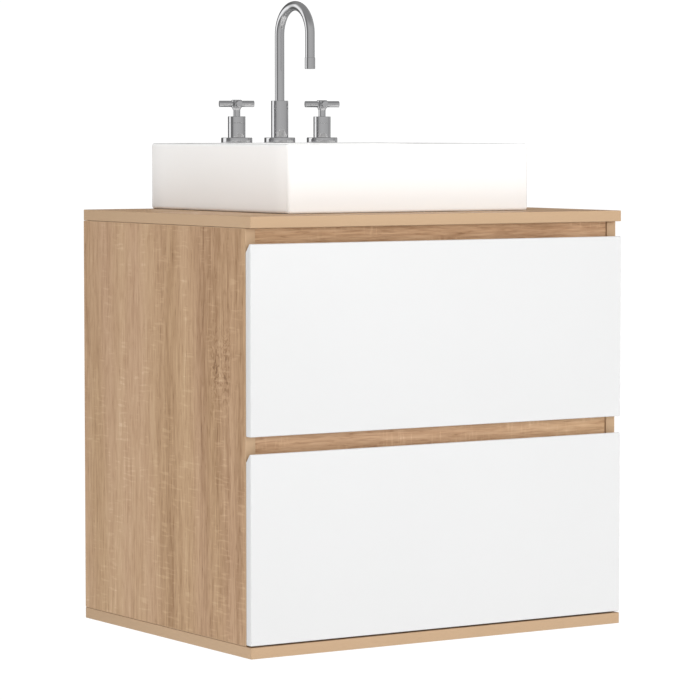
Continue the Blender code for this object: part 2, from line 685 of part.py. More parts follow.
def build_spout():
    """The swivelling gooseneck with its outlet ring and aerator."""
    axis = bpy.data.objects.new("spout_axis", None)
    place(axis, PARTS, None, (0, TAP_Y, FLANGE_TOP_Z))
    socket = SPOUT_BODY_HEIGHT - SPOUT_SOCKET
    neck = as_mesh(rod_curve(
        "gooseneck", gooseneck_route(socket, SPOUT_DROP - AERATOR_HEIGHT), SPOUT_TUBE, PARTS, CHROME
    ))
    bore = as_mesh(rod_curve(
        "gooseneck_bore", gooseneck_route(socket - BOARD, SPOUT_DROP + BOARD),
        SPOUT_TUBE - SPOUT_WALL, CUTTERS, sides=2,
    ))
    combine(neck, bore, "DIFFERENCE")
    outlet_z = SPOUT_RISE - SPOUT_DROP
    tip = (0, -2 * SPOUT_BEND, outlet_z)
    ring = turned("spout_tip_ring", sleeve(
        TIP_RADIUS, SPOUT_TUBE + GAP, TIP_LENGTH, 0
    ), tip, CHROME, FINE_STEPS)
    aerator = turned("spout_aerator", [
        (0, AERATOR_HEIGHT - GAP), (SPOUT_TUBE, AERATOR_HEIGHT - GAP), (SPOUT_TUBE, GAP),
        (0, GAP),
    ], tip, ZINC)
    for piece in (neck, bore, ring, aerator):
        piece.parent = axis


def build_taps():
    """Hot valve, spout and cold valve along the sink's rear deck."""
    for name, x in (("hot", -TAP_SPACING), ("cold", TAP_SPACING)):
        build_tap_base(
            name, x, VALVE_RADIUS, VALVE_HEIGHT, SPINDLE_RADIUS + RUNNING, VALVE_BORE_DEPTH
        )
        build_cross_handle(name, x)
    build_tap_base(
        "spout", 0.0, SPOUT_BODY_RADIUS, SPOUT_BODY_HEIGHT, SPOUT_TUBE + RUNNING,
        SPOUT_SOCKET + GAP,
    )
    build_spout()


build_cabinet()
build_hangers()
for drawer, box_z in (("upper", UPPER_BOX_Z), ("lower", LOWER_BOX_Z)):
    for side in (-1, 1):
        build_runner(drawer, side, box_z)
build_lower_drawer()
build_upper_drawer()
build_sink()
build_overflow_ring()
build_waste()
build_taps()
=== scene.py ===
"""Finished look of a wall-hung vanity with two drawers, a vessel sink and a cross-handle tap set.

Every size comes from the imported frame, in metres. Surfaces are worked out as whole numpy arrays.
"""

import logging
import math
from dataclasses import dataclass, field
from enum import Enum

import bmesh
import bpy
import numpy as np
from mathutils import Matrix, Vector


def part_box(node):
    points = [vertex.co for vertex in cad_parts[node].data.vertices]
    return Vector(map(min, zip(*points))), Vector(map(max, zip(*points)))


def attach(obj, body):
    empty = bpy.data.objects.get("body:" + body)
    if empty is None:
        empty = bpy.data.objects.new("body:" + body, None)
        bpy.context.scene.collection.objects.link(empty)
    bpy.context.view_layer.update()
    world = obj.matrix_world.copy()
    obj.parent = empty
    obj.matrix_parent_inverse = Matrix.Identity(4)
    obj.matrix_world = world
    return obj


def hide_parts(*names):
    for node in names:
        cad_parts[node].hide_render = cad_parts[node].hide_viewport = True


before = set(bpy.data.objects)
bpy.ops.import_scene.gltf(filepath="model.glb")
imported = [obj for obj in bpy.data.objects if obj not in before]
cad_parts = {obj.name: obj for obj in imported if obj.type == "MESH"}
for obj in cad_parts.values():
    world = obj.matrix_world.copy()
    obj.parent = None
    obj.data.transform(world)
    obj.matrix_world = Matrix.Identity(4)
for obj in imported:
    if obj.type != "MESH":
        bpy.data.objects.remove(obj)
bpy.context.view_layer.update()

LOG = logging.getLogger("vanity")
Array = np.ndarray
FULL_TURN = 2 * math.pi
MERGE = 1e-6
Y_AXIS = np.array([[1.0, 0.0, 0.0], [0.0, 0.0, -1.0], [0.0, 1.0, 0.0]])
CORNER_SHARE = 1.6
SLACK = 0.0003
WHITE = (1.0, 1.0, 1.0, 1.0)
SEEN_WHITE = 1.05


class Axis(Enum):
    """A direction of the frame, as its place in a point's coordinates."""

    X = 0
    Y = 1
    Z = 2

    def others(self) -> tuple[int, int]:
        """The two other directions, in order."""
        return tuple(i for i in range(3) if i != self.value)


class Body(Enum):
    """The rigid bodies that pieces ride on."""

    CABINET = "cabinet"
    UPPER_DRAWER = "upper_drawer"
    UPPER_MIDDLE = "upper_middle_members"
    LOWER_DRAWER = "lower_drawer"
    LOWER_MIDDLE = "lower_middle_members"
    HOT_HANDLE = "hot_handle"
    COLD_HANDLE = "cold_handle"
    SPOUT = "spout"
    PLUG = "plug"


# ---------------------------------------------------------------- surfaces


def unit(vectors: Array) -> Array:
    """Each vector divided by its length.

    Args:
        vectors: An array of vectors in its last axis.

    Returns:
        The array with every vector one long.
    """
    return vectors / np.maximum(np.linalg.norm(vectors, axis=-1, keepdims=True), 1e-12)


def rounded_path(corners: Array, radii: Array | float, closed: bool, steps: int = 5) -> Array:
    """A path through corner points, with a circular arc in each corner.

    An arc of radius r starts r * tan(half the turn) before its corner. Its centre lies r from
    there, square to the way in, and its points are that first spoke turned evenly to the way out.

    Args:
        corners: The corner points, one (u, v) pair a row.
        radii: One radius for each corner, or one for all.
        closed: Whether the last corner leads back to the first.
        steps: Pieces that each arc is divided into.

    Returns:
        The path's points, without doubles.
    """
    points = np.asarray(corners, float)
    radius = np.array(np.broadcast_to(np.asarray(radii, float), len(points)))
    way_in = unit(points - np.roll(points, 1, axis=0))
    way_out = unit(np.roll(points, -1, axis=0) - points)
    if not closed:
        radius[[0, -1]] = 0.0
        way_in[0], way_out[-1] = way_out[0], way_in[-1]
    cross = way_in[:, 0] * way_out[:, 1] - way_in[:, 1] * way_out[:, 0]
    turn = np.arctan2(cross, (way_in * way_out).sum(axis=1))
    reach = radius * np.tan(np.abs(turn) / 2)
    square = np.stack([-way_in[:, 1], way_in[:, 0]], axis=1) * np.sign(turn)[:, None]
    centre = points - way_in * reach[:, None] + square * radius[:, None]
    spoke = -square * radius[:, None]
    angle = turn[:, None] * np.linspace(0.0, 1.0, steps + 1)
    c, s = np.cos(angle), np.sin(angle)
    arc_u = centre[:, :1] + spoke[:, :1] * c - spoke[:, 1:] * s
    arc_v = centre[:, 1:] + spoke[:, :1] * s + spoke[:, 1:] * c
    path = np.stack([arc_u, arc_v], axis=-1).reshape(-1, 2)
    gap = np.linalg.norm(path - np.roll(path, 1, axis=0), axis=1)
    keep = gap > MERGE
    if not closed:
        keep[0] = True
    return path[keep]


def rounded_rectangle(low: Array, high: Array, radius: float, side: int, corner: int) -> Array:
    """A rectangle with round corners, with as many points whatever its size.

    Each side is divided evenly between its two corner arcs, so that rectangles of different
    sizes match point for point.

    Args:
        low: The lowest (x, y).
        high: The highest (x, y).
        radius: The corner radius.
        side: Pieces that each straight side is divided into.
        corner: Pieces that each corner arc is divided into.

    Returns:
        The outline's points, going round anticlockwise.
    """
    low, high = np.asarray(low, float), np.asarray(high, float)
    centres = np.array([
        [high[0] - radius, low[1] + radius], [high[0] - radius, high[1] - radius],
        [low[0] + radius, high[1] - radius], [low[0] + radius, low[1] + radius],
    ])
    start = np.radians([-90.0, 0.0, 90.0, 180.0])
    angle = start[:, None] + np.radians(90.0) * np.linspace(0.0, 1.0, corner + 1)
    arcs = centres[:, None] + radius * np.stack([np.cos(angle), np.sin(angle)], axis=-1)
    following = np.roll(arcs[:, 0], -1, axis=0)
    share = np.linspace(0.0, 1.0, side + 1)[1:-1, None]
    sides = arcs[:, -1:, :] * (1 - share) + following[:, None, :] * share
    return np.concatenate([arcs, sides], axis=1).reshape(-1, 2)


def sheet_faces(rows: int, columns: int, wrap_rows: bool) -> Array:
    """The quads of a grid whose columns go round and whose rows may too.

    Args:
        rows: Rows of points.
        columns: Points in each row.
        wrap_rows: Whether the last row joins the first.

    Returns:
        One quad a row, as point numbers.
    """
    i = np.arange(rows if wrap_rows else rows - 1)[:, None]
    j = np.arange(columns)[None, :]
    below, beside = ((i + 1) % rows) * columns, (j + 1) % columns
    quads = np.stack([i * columns + j, i * columns + beside, below + beside, below + j], axis=-1)
    return quads.reshape(-1, 4)


def piece_from(
    name: str, grid: Array, wrap_rows: bool = False, caps: bool = False, sharp: float = 32.0
) -> bpy.types.Object:
    """An object from a grid of points, with its seams and poles merged and its faces outwards.

    Args:
        name: The piece's name.
        grid: Points as rows, columns and (x, y, z).
        wrap_rows: Whether the last row joins the first.
        caps: Whether the first and last rows are closed by a flat face.
        sharp: Edges that turn by more degrees than this keep a crisp line.

    Returns:
        The object, linked to the scene.
    """
    rows, columns = grid.shape[:2]
    faces = sheet_faces(rows, columns, wrap_rows).tolist()
    if caps:
        faces.append(list(range(columns)))
        faces.append(list(range((rows - 1) * columns, rows * columns)))
    mesh = bpy.data.meshes.new(name)
    mesh.from_pydata(grid.reshape(-1, 3).tolist(), [], faces)
    settle(mesh, sharp)
    made = bpy.data.objects.new(name, mesh)
    bpy.context.scene.collection.objects.link(made)
    return made


def settle(mesh: bpy.types.Mesh, sharp: float) -> None:
    """Merges a mesh's doubles, points its faces outwards and shades it.

    Args:
        mesh: The mesh to settle.
        sharp: Edges that turn by more degrees than this keep a crisp line.
    """
    shape = bmesh.new()
    shape.from_mesh(mesh)
    bmesh.ops.remove_doubles(shape, verts=shape.verts, dist=MERGE)
    bmesh.ops.dissolve_degenerate(shape, dist=MERGE, edges=shape.edges)
    bmesh.ops.recalc_face_normals(shape, faces=shape.faces)
    shape.to_mesh(mesh)
    shape.free()
    mesh.shade_smooth()
    mesh.set_sharp_from_angle(angle=math.radians(sharp))
    mesh.update()


def prism(
    name: str, outline: Array, axis: Axis, low: float, high: float, edge: float, steps: int = 3
) -> bpy.types.Object:
    """A flat outline given thickness along an axis, with round edges at both ends.

    In each end's quarter round the outline moves inwards by edge * (1 - sin t) while it
    moves along the axis by edge * (1 - cos t), for t from 0 to a right angle. The outline's
    own corners are rounder than that, so that the inset never folds.

    Args:
        name: The piece's name.
        outline: The outline's points, in the two directions square to the axis.
        axis: The direction of the thickness.
        low: Where the thickness starts.
        high: Where it ends.
        edge: Radius of the rounded edges.
        steps: Pieces that each quarter round is divided into.

    Returns:
        The object.
    """
    ahead = unit(np.roll(outline, -1, axis=0) - outline)
    behind = unit(outline - np.roll(outline, 1, axis=0))
    area = np.cross(outline, np.roll(outline, -1, axis=0)).sum()
    outward = np.stack([ahead[:, 1] + behind[:, 1], -ahead[:, 0] - behind[:, 0]], axis=1)
    outward *= np.sign(area)
    length = np.linalg.norm(outward, axis=1, keepdims=True)
    outward = outward / length * (2 / length)
    t = np.linspace(0.0, math.pi / 2, steps + 1)
    inset, along = edge * (1 - np.sin(t)), edge * (1 - np.cos(t))
    insets = np.concatenate([inset, inset[::-1]])
    levels = np.concatenate([low + along, high - along[::-1]])
    rings = outline[None] - outward[None] * insets[:, None, None]
    first, second = axis.others()
    grid = np.empty((len(levels), len(outline), 3))
    grid[..., first] = rings[..., 0]
    grid[..., second] = rings[..., 1]
    grid[..., axis.value] = levels[:, None]
    return piece_from(name, grid, caps=True)


def turned(
    name: str, profile: Array, centre: Vector, steps: int = 64, turn: Array | None = None,
    closed: bool = False, sharp: float = 32.0,
) -> bpy.types.Object:
    """A profile of (radius, height) pairs turned once about an axis.

    A point at angle t stands at (r cos t, r sin t, h) before the whole is turned and placed.

    Args:
        name: The piece's name.
        profile: The (radius, height) pairs.
        centre: Where the axis starts.
        steps: Pieces that the turn is divided into.
        turn: A rotation matrix for an axis that isn't upright.
        closed: Whether the profile joins its own start, as a ring's does.
        sharp: Edges that turn by more degrees than this keep a crisp line.

    Returns:
        The object.
    """
    profile = np.asarray(profile, float)
    angle = np.arange(steps) / steps * FULL_TURN
    radius = profile[:, :1]
    grid = np.stack([
        radius * np.cos(angle), radius * np.sin(angle),
        np.broadcast_to(profile[:, 1:], (len(profile), steps)),
    ], axis=-1)
    if turn is not None:
        grid = grid @ np.asarray(turn).T
    return piece_from(name, grid + np.array(centre), wrap_rows=closed, sharp=sharp)


def bent_tube(
    name: str, path: Array, x: float, outer: float, inner: float, steps: int = 40
) -> bpy.types.Object:
    """A round tube along a path that lies in an upright plane facing +X.

    At each path point the circle lies square to the path: its spokes are
    cos t * (the path's normal in the plane) + sin t * (the X direction). The outer wall runs
    along the path and the inner wall back again, so the open ends have a rim.

    Args:
        name: The piece's name.
        path: The (y, z) points of the middle line.
        x: Where the plane stands.
        outer: The outer radius.
        inner: The inner radius.
        steps: Pieces that the circle is divided into.

    Returns:
        The object.
    """
    along = unit(np.gradient(path, axis=0))
    normal = np.stack([-along[:, 1], along[:, 0]], axis=1)
    angle = np.arange(steps) / steps * FULL_TURN

    def wall(radius: float) -> Array:
        """The rings of one wall, radius away from the middle line."""
        spread = radius * np.cos(angle)[None, :, None] * normal[:, None, :]
        sideways = np.broadcast_to(x + radius * np.sin(angle), (len(path), steps))
        return np.concatenate([sideways[..., None], path[:, None, :] + spread], axis=-1)

    grid = np.concatenate([wall(outer), wall(inner)[::-1]])
    return piece_from(name, grid, wrap_rows=True, sharp=50.0)


def combined(
    piece: bpy.types.Object, others: list[bpy.types.Object], operation: str, sharp: float = 32.0
) -> bpy.types.Object:
    """A piece joined with, or cut by, other closed shapes, which are used up.

    Args:
        piece: The piece to change.
        others: The shapes that join or cut it.
        operation: UNION or DIFFERENCE.
        sharp: Edges that turn by more degrees than this keep a crisp line.

    Returns:
        The piece, with its mesh made final.
    """
    for other in others:
        step = piece.modifiers.new("join", "BOOLEAN")
        step.operation = operation
        step.solver = "EXACT"
        step.object = other
    graph = bpy.context.evaluated_depsgraph_get()
    mesh = bpy.data.meshes.new_from_object(piece.evaluated_get(graph))
    piece.modifiers.clear()
    piece.data = mesh
    settle(mesh, sharp)
    for other in others:
        bpy.data.objects.remove(other)
    return piece


# ---------------------------------------------------------------- finishes


def linear(red: int, green: int, blue: int) -> tuple[float, float, float, float]:
    """A screen colour, 0 to 255 a channel, as the renderer's linear one."""
    share = np.array([red, green, blue]) / 255
    low, high = share / 12.92, ((share + 0.055) / 1.055) ** 2.4
    return (*np.where(share <= 0.04045, low, high).tolist(), 1.0)


def dimmed(colour: tuple, share: float) -> tuple[float, ...]:
    """A colour with its three channels multiplied."""
    return tuple(share * c for c in colour[:3]) + (1.0,)


class Graph:
    """Short ways to add and join nodes in one node tree."""

    def __init__(self, tree: bpy.types.NodeTree) -> None:
        """Keeps the tree to add to."""
        self.tree = tree

    def node(self, kind: str, **settings: object) -> bpy.types.Node:
        """A new node with its settings made.

        Args:
            kind: The node's type name.
            settings: Its properties by name.

        Returns:
            The node.
        """
        made = self.tree.nodes.new(kind)
        for key, value in settings.items():
            setattr(made, key, value)
        return made

    def feed(self, socket: bpy.types.NodeSocket, value: object) -> None:
        """Joins an output to a socket, or sets the socket's own value."""
        if isinstance(value, bpy.types.NodeSocket):
            self.tree.links.new(value, socket)
        elif value is not None:
            socket.default_value = value

    def math(self, operation: str, *values: object, clamp: bool = False) -> bpy.types.NodeSocket:
        """The result of a Math node on up to three values."""
        made = self.node("ShaderNodeMath", operation=operation, use_clamp=clamp)
        for socket, value in zip(made.inputs, values):
            self.feed(socket, value)
        return made.outputs[0]

    def plus(self, first: object, second: object, clamp: bool = False) -> bpy.types.NodeSocket:
        """The sum of two values."""
        return self.math("ADD", first, second, clamp=clamp)

    def minus(self, first: object, second: object) -> bpy.types.NodeSocket:
        """The first value less the second."""
        return self.math("SUBTRACT", first, second)

    def times(self, first: object, second: object) -> bpy.types.NodeSocket:
        """The product of two values."""
        return self.math("MULTIPLY", first, second)

    def parts(self, vector: object) -> bpy.types.NodeOutputs:
        """A vector's three coordinates."""
        made = self.node("ShaderNodeSeparateXYZ")
        self.feed(made.inputs[0], vector)
        return made.outputs

    def joined(self, *values: object) -> bpy.types.NodeSocket:
        """A vector from three coordinates."""
        made = self.node("ShaderNodeCombineXYZ")
        for socket, value in zip(made.inputs, values):
            self.feed(socket, value)
        return made.outputs[0]

    def either(self, share: object, first: object, second: object) -> bpy.types.NodeSocket:
        """Two shaders mixed: the first where share is 0, the second where it is 1."""
        made = self.node("ShaderNodeMixShader")
        for socket, value in zip(made.inputs, (share, first, second)):
            self.feed(socket, value)
        return made.outputs[0]

    def scaled(self, vector: bpy.types.NodeSocket, by: tuple[float, float, float]) -> object:
        """A vector with each coordinate multiplied."""
        made = self.node("ShaderNodeVectorMath", operation="MULTIPLY")
        self.feed(made.inputs[0], vector)
        self.feed(made.inputs[1], by)
        return made.outputs[0]

    def noise(
        self, vector: object, by: tuple[float, float, float], detail: float = 2.0,
        rough: float = 0.5, bend: float = 0.0,
    ) -> bpy.types.NodeSocket:
        """Noise from 0 to 1, with its own number of grains a metre in each direction.

        Args:
            vector: Where it is read, in metres.
            by: Grains a metre along X, Y and Z.
            detail: Finer layers added.
            rough: Strength of the finer layers.
            bend: How far the pattern bends itself.

        Returns:
            The noise.
        """
        made = self.node("ShaderNodeTexNoise")
        self.feed(made.inputs["Vector"], self.scaled(vector, by))
        settings = {"Scale": 1.0, "Detail": detail, "Roughness": rough, "Distortion": bend}
        for label, value in settings.items():
            made.inputs[label].default_value = value
        return made.outputs["Fac"]

    def centred(self, value: object, size: float) -> bpy.types.NodeSocket:
        """A value from 0 to 1 made to swing about 0, size wide in all."""
        return self.times(self.minus(value, 0.5), size)

    def ease(self, value: object, low: float, high: float) -> bpy.types.NodeSocket:
        """0 below low, 1 above high, and a smooth step between."""
        made = self.node("ShaderNodeMapRange", interpolation_type="SMOOTHSTEP")
        self.feed(made.inputs["Value"], value)
        made.inputs["From Min"].default_value = low
        made.inputs["From Max"].default_value = high
        return made.outputs["Result"]

    def span(self, value: object, low: object, high: object) -> bpy.types.NodeSocket:
        """A value from 0 to 1 carried to the range from low to high."""
        made = self.node("ShaderNodeMapRange")
        self.feed(made.inputs["Value"], value)
        self.feed(made.inputs["To Min"], low)
        self.feed(made.inputs["To Max"], high)
        return made.outputs["Result"]

    def ramp(self, value: object, stops: list[tuple[float, tuple]]) -> bpy.types.NodeSocket:
        """Colours along a value."""
        made = self.node("ShaderNodeValToRGB")
        self.feed(made.inputs[0], value)
        elements = made.color_ramp.elements
        elements[0].position, elements[0].color = stops[0]
        elements[1].position, elements[1].color = stops[-1]
        for position, colour in stops[1:-1]:
            elements.new(position).color = colour
        return made.outputs["Color"]

    def mix(self, share: object, first: object, second: object, kind: str = "MIX") -> object:
        """Two colours mixed."""
        made = self.node("ShaderNodeMix", data_type="RGBA", blend_type=kind)
        self.feed(made.inputs[0], share)
        self.feed(made.inputs[6], first)
        self.feed(made.inputs[7], second)
        return made.outputs[2]

    def bump(self, height: object, distance: float, strength: float = 1.0) -> object:
        """A surface normal from a height between 0 and 1, distance metres tall."""
        made = self.node("ShaderNodeBump")
        self.feed(made.inputs["Height"], height)
        made.inputs["Distance"].default_value = distance
        made.inputs["Strength"].default_value = strength
        return made.outputs["Normal"]


def new_group(
    name: str, inputs: list[tuple[str, str, object]], outputs: list[tuple[str, str]]
) -> tuple[Graph, bpy.types.Node, bpy.types.Node]:
    """An empty shader node group with named sockets.

    Args:
        name: The group's name.
        inputs: Each socket's name, type and default.
        outputs: Each socket's name and type.

    Returns:
        Its graph, its input node and its output node.
    """
    tree = bpy.data.node_groups.new(name, "ShaderNodeTree")
    for label, kind, default in inputs:
        socket = tree.interface.new_socket(label, in_out="INPUT", socket_type=kind)
        if default is not None:
            socket.default_value = default
    for label, kind in outputs:
        tree.interface.new_socket(label, in_out="OUTPUT", socket_type=kind)
    graph = Graph(tree)
    return graph, graph.node("NodeGroupInput"), graph.node("NodeGroupOutput")


FLOAT, VECTOR, COLOUR = "NodeSocketFloat", "NodeSocketVector", "NodeSocketColor"


def oak_group() -> bpy.types.NodeTree:
    """Sawn oak decor: X runs across the grain, Y through the board and Z along the grain.

    Bands, streaks and fibres are noise drawn out along Z, and pores are its darkest short
    ticks. One darker stave has a flame figure, whose lines are where
    (distance across)^2 + distance along comes to whole numbers, and a burl with light flecks.
    Saw marks are short light dashes square to the grain that gather in patches.

    Returns:
        The group, which puts out Color, Height and Shade.
    """
    g, given, out = new_group(
        "oak_decor",
        [
            ("Vector", VECTOR, None), ("Stave Place", FLOAT, 0.0), ("Stave Width", FLOAT, 0.03),
            ("Burl Place", FLOAT, 0.0),
        ],
        [("Color", COLOUR), ("Height", FLOAT), ("Shade", FLOAT)],
    )
    where = given.outputs["Vector"]
    across, through, along = g.parts(where)
    slow, quick = g.noise(where, (6.0, 6.0, 1.7), 2.0), g.noise(where, (30.0, 8.0, 13.0), 2.0)
    swayed = g.plus(across, g.centred(slow, 0.020))
    swayed = g.plus(swayed, g.centred(quick, 0.0035))
    grain = g.joined(swayed, through, along)

    bands = g.noise(grain, (24.0, 4.0, 0.7), 2.0, 0.6)
    streaks = g.noise(grain, (120.0, 30.0, 7.5), 4.0, 0.72)
    fibres = g.noise(grain, (360.0, 90.0, 20.0), 2.0, 0.7)
    pores = g.ease(g.noise(grain, (300.0, 80.0, 48.0), 2.0, 0.6), 0.54, 0.70)

    patch = g.ease(g.noise(grain, (34.0, 6.0, 8.0), 1.5, 0.6), 0.46, 0.62)
    dashes = g.ease(g.noise(grain, (34.0, 8.0, 260.0), 1.0, 0.5, 0.15), 0.55, 0.68)
    sawn = g.times(patch, dashes)

    offset = g.math("DIVIDE", g.minus(swayed, given.outputs["Stave Place"]),
                    given.outputs["Stave Width"])
    offset = g.plus(offset, g.centred(quick, 0.75))
    squared = g.times(offset, offset)
    stave = g.minus(1.0, g.ease(squared, 0.25, 1.0))
    rise = g.minus(along, given.outputs["Burl Place"])
    flame = g.plus(g.times(squared, 1.9), g.times(rise, 13.0))
    flame = g.plus(flame, g.centred(g.noise(grain, (60.0, 9.0, 10.0), 2.0), 2.2))
    flame = g.ease(g.math("SINE", g.times(flame, FULL_TURN)), -0.2, 1.0)
    near = g.minus(1.0, g.ease(g.math("ABSOLUTE", rise), 0.015, 0.085))
    burl = g.times(near, stave)
    curls = g.noise(grain, (44.0, 12.0, 24.0), 2.0, 0.5, 1.2)
    curls = g.ease(g.math("SINE", g.times(curls, 7.0 * FULL_TURN)), 0.1, 1.0)
    flecks = g.ease(g.noise(grain, (120.0, 20.0, 95.0), 2.0, 0.6, 1.2), 0.53, 0.66)

    tone = g.plus(0.50, g.centred(bands, 0.80))
    tone = g.plus(tone, g.centred(streaks, 0.80))
    tone = g.plus(tone, g.centred(fibres, 0.80))
    tone = g.minus(tone, g.times(pores, 0.15))
    tone = g.plus(tone, g.times(sawn, 0.15))
    dark = g.times(stave, g.plus(0.04, g.times(flame, 0.065)))
    tone = g.minus(tone, dark)
    figure = g.minus(g.times(flecks, 0.20), g.times(curls, 0.20))
    tone = g.plus(tone, g.times(burl, figure), clamp=True)
    colour = g.ramp(tone, [
        (0.0, linear(124, 92, 65)), (0.25, linear(164, 130, 98)), (0.50, linear(189, 156, 124)),
        (0.75, linear(204, 173, 141)), (1.0, linear(226, 202, 173)),
    ])
    rosy = g.noise(grain, (16.0, 3.0, 1.3), 1.0)
    g.feed(out.inputs["Color"], g.mix(1.0, colour, g.ramp(rosy, [
        (0.30, (1.0, 0.985, 0.93, 1.0)), (0.70, (1.0, 0.965, 0.985, 1.0)),
    ]), "MULTIPLY"))
    height = g.minus(g.times(tone, 0.6), g.times(pores, 0.4))
    g.feed(out.inputs["Height"], height)
    g.feed(out.inputs["Shade"], tone)
    return g.tree


def marks_group() -> bpy.types.NodeTree:
    """Faint wear: soft cloudy patches with fine scuffs, as a value between Low and High.

    Returns:
        The group, which puts out Value and Height.
    """
    g, given, out = new_group(
        "handling_marks",
        [("Vector", VECTOR, None), ("Low", FLOAT, 0.1), ("High", FLOAT, 0.2)],
        [("Value", FLOAT), ("Height", FLOAT)],
    )
    where = given.outputs["Vector"]
    cloud = g.noise(where, (11.0, 11.0, 11.0), 3.0, 0.6)
    scuffs = g.ease(g.noise(where, (240.0, 60.0, 150.0), 3.0, 0.7, 0.6), 0.52, 0.80)
    worn = g.plus(g.times(cloud, 0.7), g.times(scuffs, 0.5), clamp=True)
    g.feed(out.inputs["Value"], g.span(worn, given.outputs["Low"], given.outputs["High"]))
    g.feed(out.inputs["Height"], g.noise(where, (900.0, 900.0, 900.0), 2.0, 0.5))
    return g.tree


GROUPS: dict[str, bpy.types.NodeTree] = {}


def group_node(graph: Graph, name: str) -> bpy.types.Node:
    """A node of one of the shared groups, which are built once.

    Args:
        graph: The material's graph.
        name: oak_decor or handling_marks.

    Returns:
        The node.
    """
    makers = {"oak_decor": oak_group, "handling_marks": marks_group}
    if name not in GROUPS:
        GROUPS[name] = makers[name]()
    return graph.node("ShaderNodeGroup", node_tree=GROUPS[name])


@dataclass(frozen=True)
class Finish:
    """What every finish shares: a material with a shader, and faint wear on its roughness."""

    name: str
    slot: str
    rough: tuple[float, float] = (0.2, 0.3)
    relief: float = 0.00001

    def start(self) -> tuple[bpy.types.Material, Graph, bpy.types.Node, bpy.types.NodeSocket]:
        """An empty material with its shader.

        Returns:
            The material, its graph, its Principled shader and the object coordinates.
        """
        made = bpy.data.materials.new(self.name)
        made.use_nodes = True
        graph = Graph(made.node_tree)
        shader = made.node_tree.nodes["Principled BSDF"]
        where = graph.node("ShaderNodeTexCoord").outputs["Object"]
        return made, graph, shader, where

    def wear(self, graph: Graph, shader: bpy.types.Node, where: object) -> bpy.types.Node:
        """Feeds the shader's roughness and a fine relief from the shared marks.

        Args:
            graph: The material's graph.
            shader: Its shader.
            where: The coordinates to read.

        Returns:
            The marks node.
        """
        marks = group_node(graph, "handling_marks")
        graph.feed(marks.inputs["Vector"], where)
        marks.inputs["Low"].default_value, marks.inputs["High"].default_value = self.rough
        graph.feed(shader.inputs["Roughness"], marks.outputs["Value"])
        graph.feed(shader.inputs["Normal"], graph.bump(marks.outputs["Height"], self.relief))
        return marks

    def material(self) -> bpy.types.Material:
        """The finish as a material."""
        made, graph, shader, where = self.start()
        self.wear(graph, shader, where)
        return made


@dataclass(frozen=True)
class Oak(Finish):
    """Oak decor on a board, with the grain along one of its directions."""

    slot: str = "oak_board"
    rough: tuple[float, float] = (0.42, 0.58)
    along: Axis = Axis.Z
    across: Axis = Axis.Y
    shift: tuple[float, float, float] = (0.0, 0.0, 0.0)
    stave_place: float = 0.0
    stave_width: float = 0.03
    burl_place: float = 0.0
    tint: tuple[float, float, float, float] = (0.872, 0.865, 0.838, 1.0)

    def material(self) -> bpy.types.Material:
        """The finish as a material."""
        made, graph, shader, where = self.start()
        parts = graph.parts(where)
        through = next(a for a in Axis if a not in (self.along, self.across))
        order = (self.across, through, self.along)
        joined = graph.joined(*(parts[axis.value] for axis in order))
        moved = graph.node("ShaderNodeVectorMath", operation="ADD")
        graph.feed(moved.inputs[0], joined)
        moved.inputs[1].default_value = self.shift
        oak = group_node(graph, "oak_decor")
        graph.feed(oak.inputs["Vector"], moved.outputs[0])
        oak.inputs["Stave Place"].default_value = self.stave_place + self.shift[0]
        oak.inputs["Stave Width"].default_value = self.stave_width
        oak.inputs["Burl Place"].default_value = self.burl_place + self.shift[2]
        graph.feed(
            shader.inputs["Base Color"],
            graph.mix(1.0, oak.outputs["Color"], self.tint, "MULTIPLY"),
        )
        low, high = self.rough
        graph.feed(shader.inputs["Roughness"], graph.span(oak.outputs["Shade"], high, low))
        graph.feed(shader.inputs["Normal"], graph.bump(oak.outputs["Height"], 0.00012))
        shader.inputs["Specular IOR Level"].default_value = 0.35
        return made


@dataclass(frozen=True)
class EdgeBand(Finish):
    """The plain tan tape on a board's edges, with a faint drawn grain."""

    slot: str = "oak_board"
    rough: tuple[float, float] = (0.40, 0.50)
    tone: tuple[float, float, float, float] = (1.0, 1.0, 1.0, 1.0)

    def material(self) -> bpy.types.Material:
        """The finish as a material."""
        made, graph, shader, where = self.start()
        self.wear(graph, shader, where)
        drawn = graph.noise(where, (9.0, 9.0, 9.0), 2.0)
        fine = graph.noise(where, (60.0, 60.0, 700.0), 2.0)
        both = graph.plus(graph.times(drawn, 0.6), graph.times(fine, 0.4))
        darker = dimmed(self.tone, 0.93)
        graph.feed(shader.inputs["Base Color"], graph.mix(both, darker, self.tone))
        shader.inputs["Specular IOR Level"].default_value = 0.35
        return made


@dataclass(frozen=True)
class Coating(Finish):
    """An even, nonmetal finish: lacquer, glaze, melamine or moulded plastic."""

    colour: tuple[float, float, float, float] = (0.8, 0.8, 0.8, 1.0)
    coat: float = 0.0
    waves: float = 0.0
    wave_size: float = 12.0

    def material(self) -> bpy.types.Material:
        """The finish as a material."""
        made, graph, shader, where = self.start()
        marks = self.wear(graph, shader, where)
        faded = dimmed(self.colour, 0.975)
        cloud = graph.noise(where, (5.0, 5.0, 5.0), 3.0)
        graph.feed(shader.inputs["Base Color"], graph.mix(cloud, faded, self.colour))
        shader.inputs["Coat Weight"].default_value = self.coat
        shader.inputs["Coat Roughness"].default_value = 0.04
        if self.waves:
            size = (self.wave_size,) * 3
            height = graph.noise(where, size, 2.0, 0.4)
            normal = graph.bump(height, self.waves)
            fine = graph.node("ShaderNodeBump")
            graph.feed(fine.inputs["Height"], marks.outputs["Height"])
            graph.feed(fine.inputs["Normal"], normal)
            fine.inputs["Distance"].default_value = self.relief
            graph.feed(shader.inputs["Normal"], fine.outputs["Normal"])
        return made


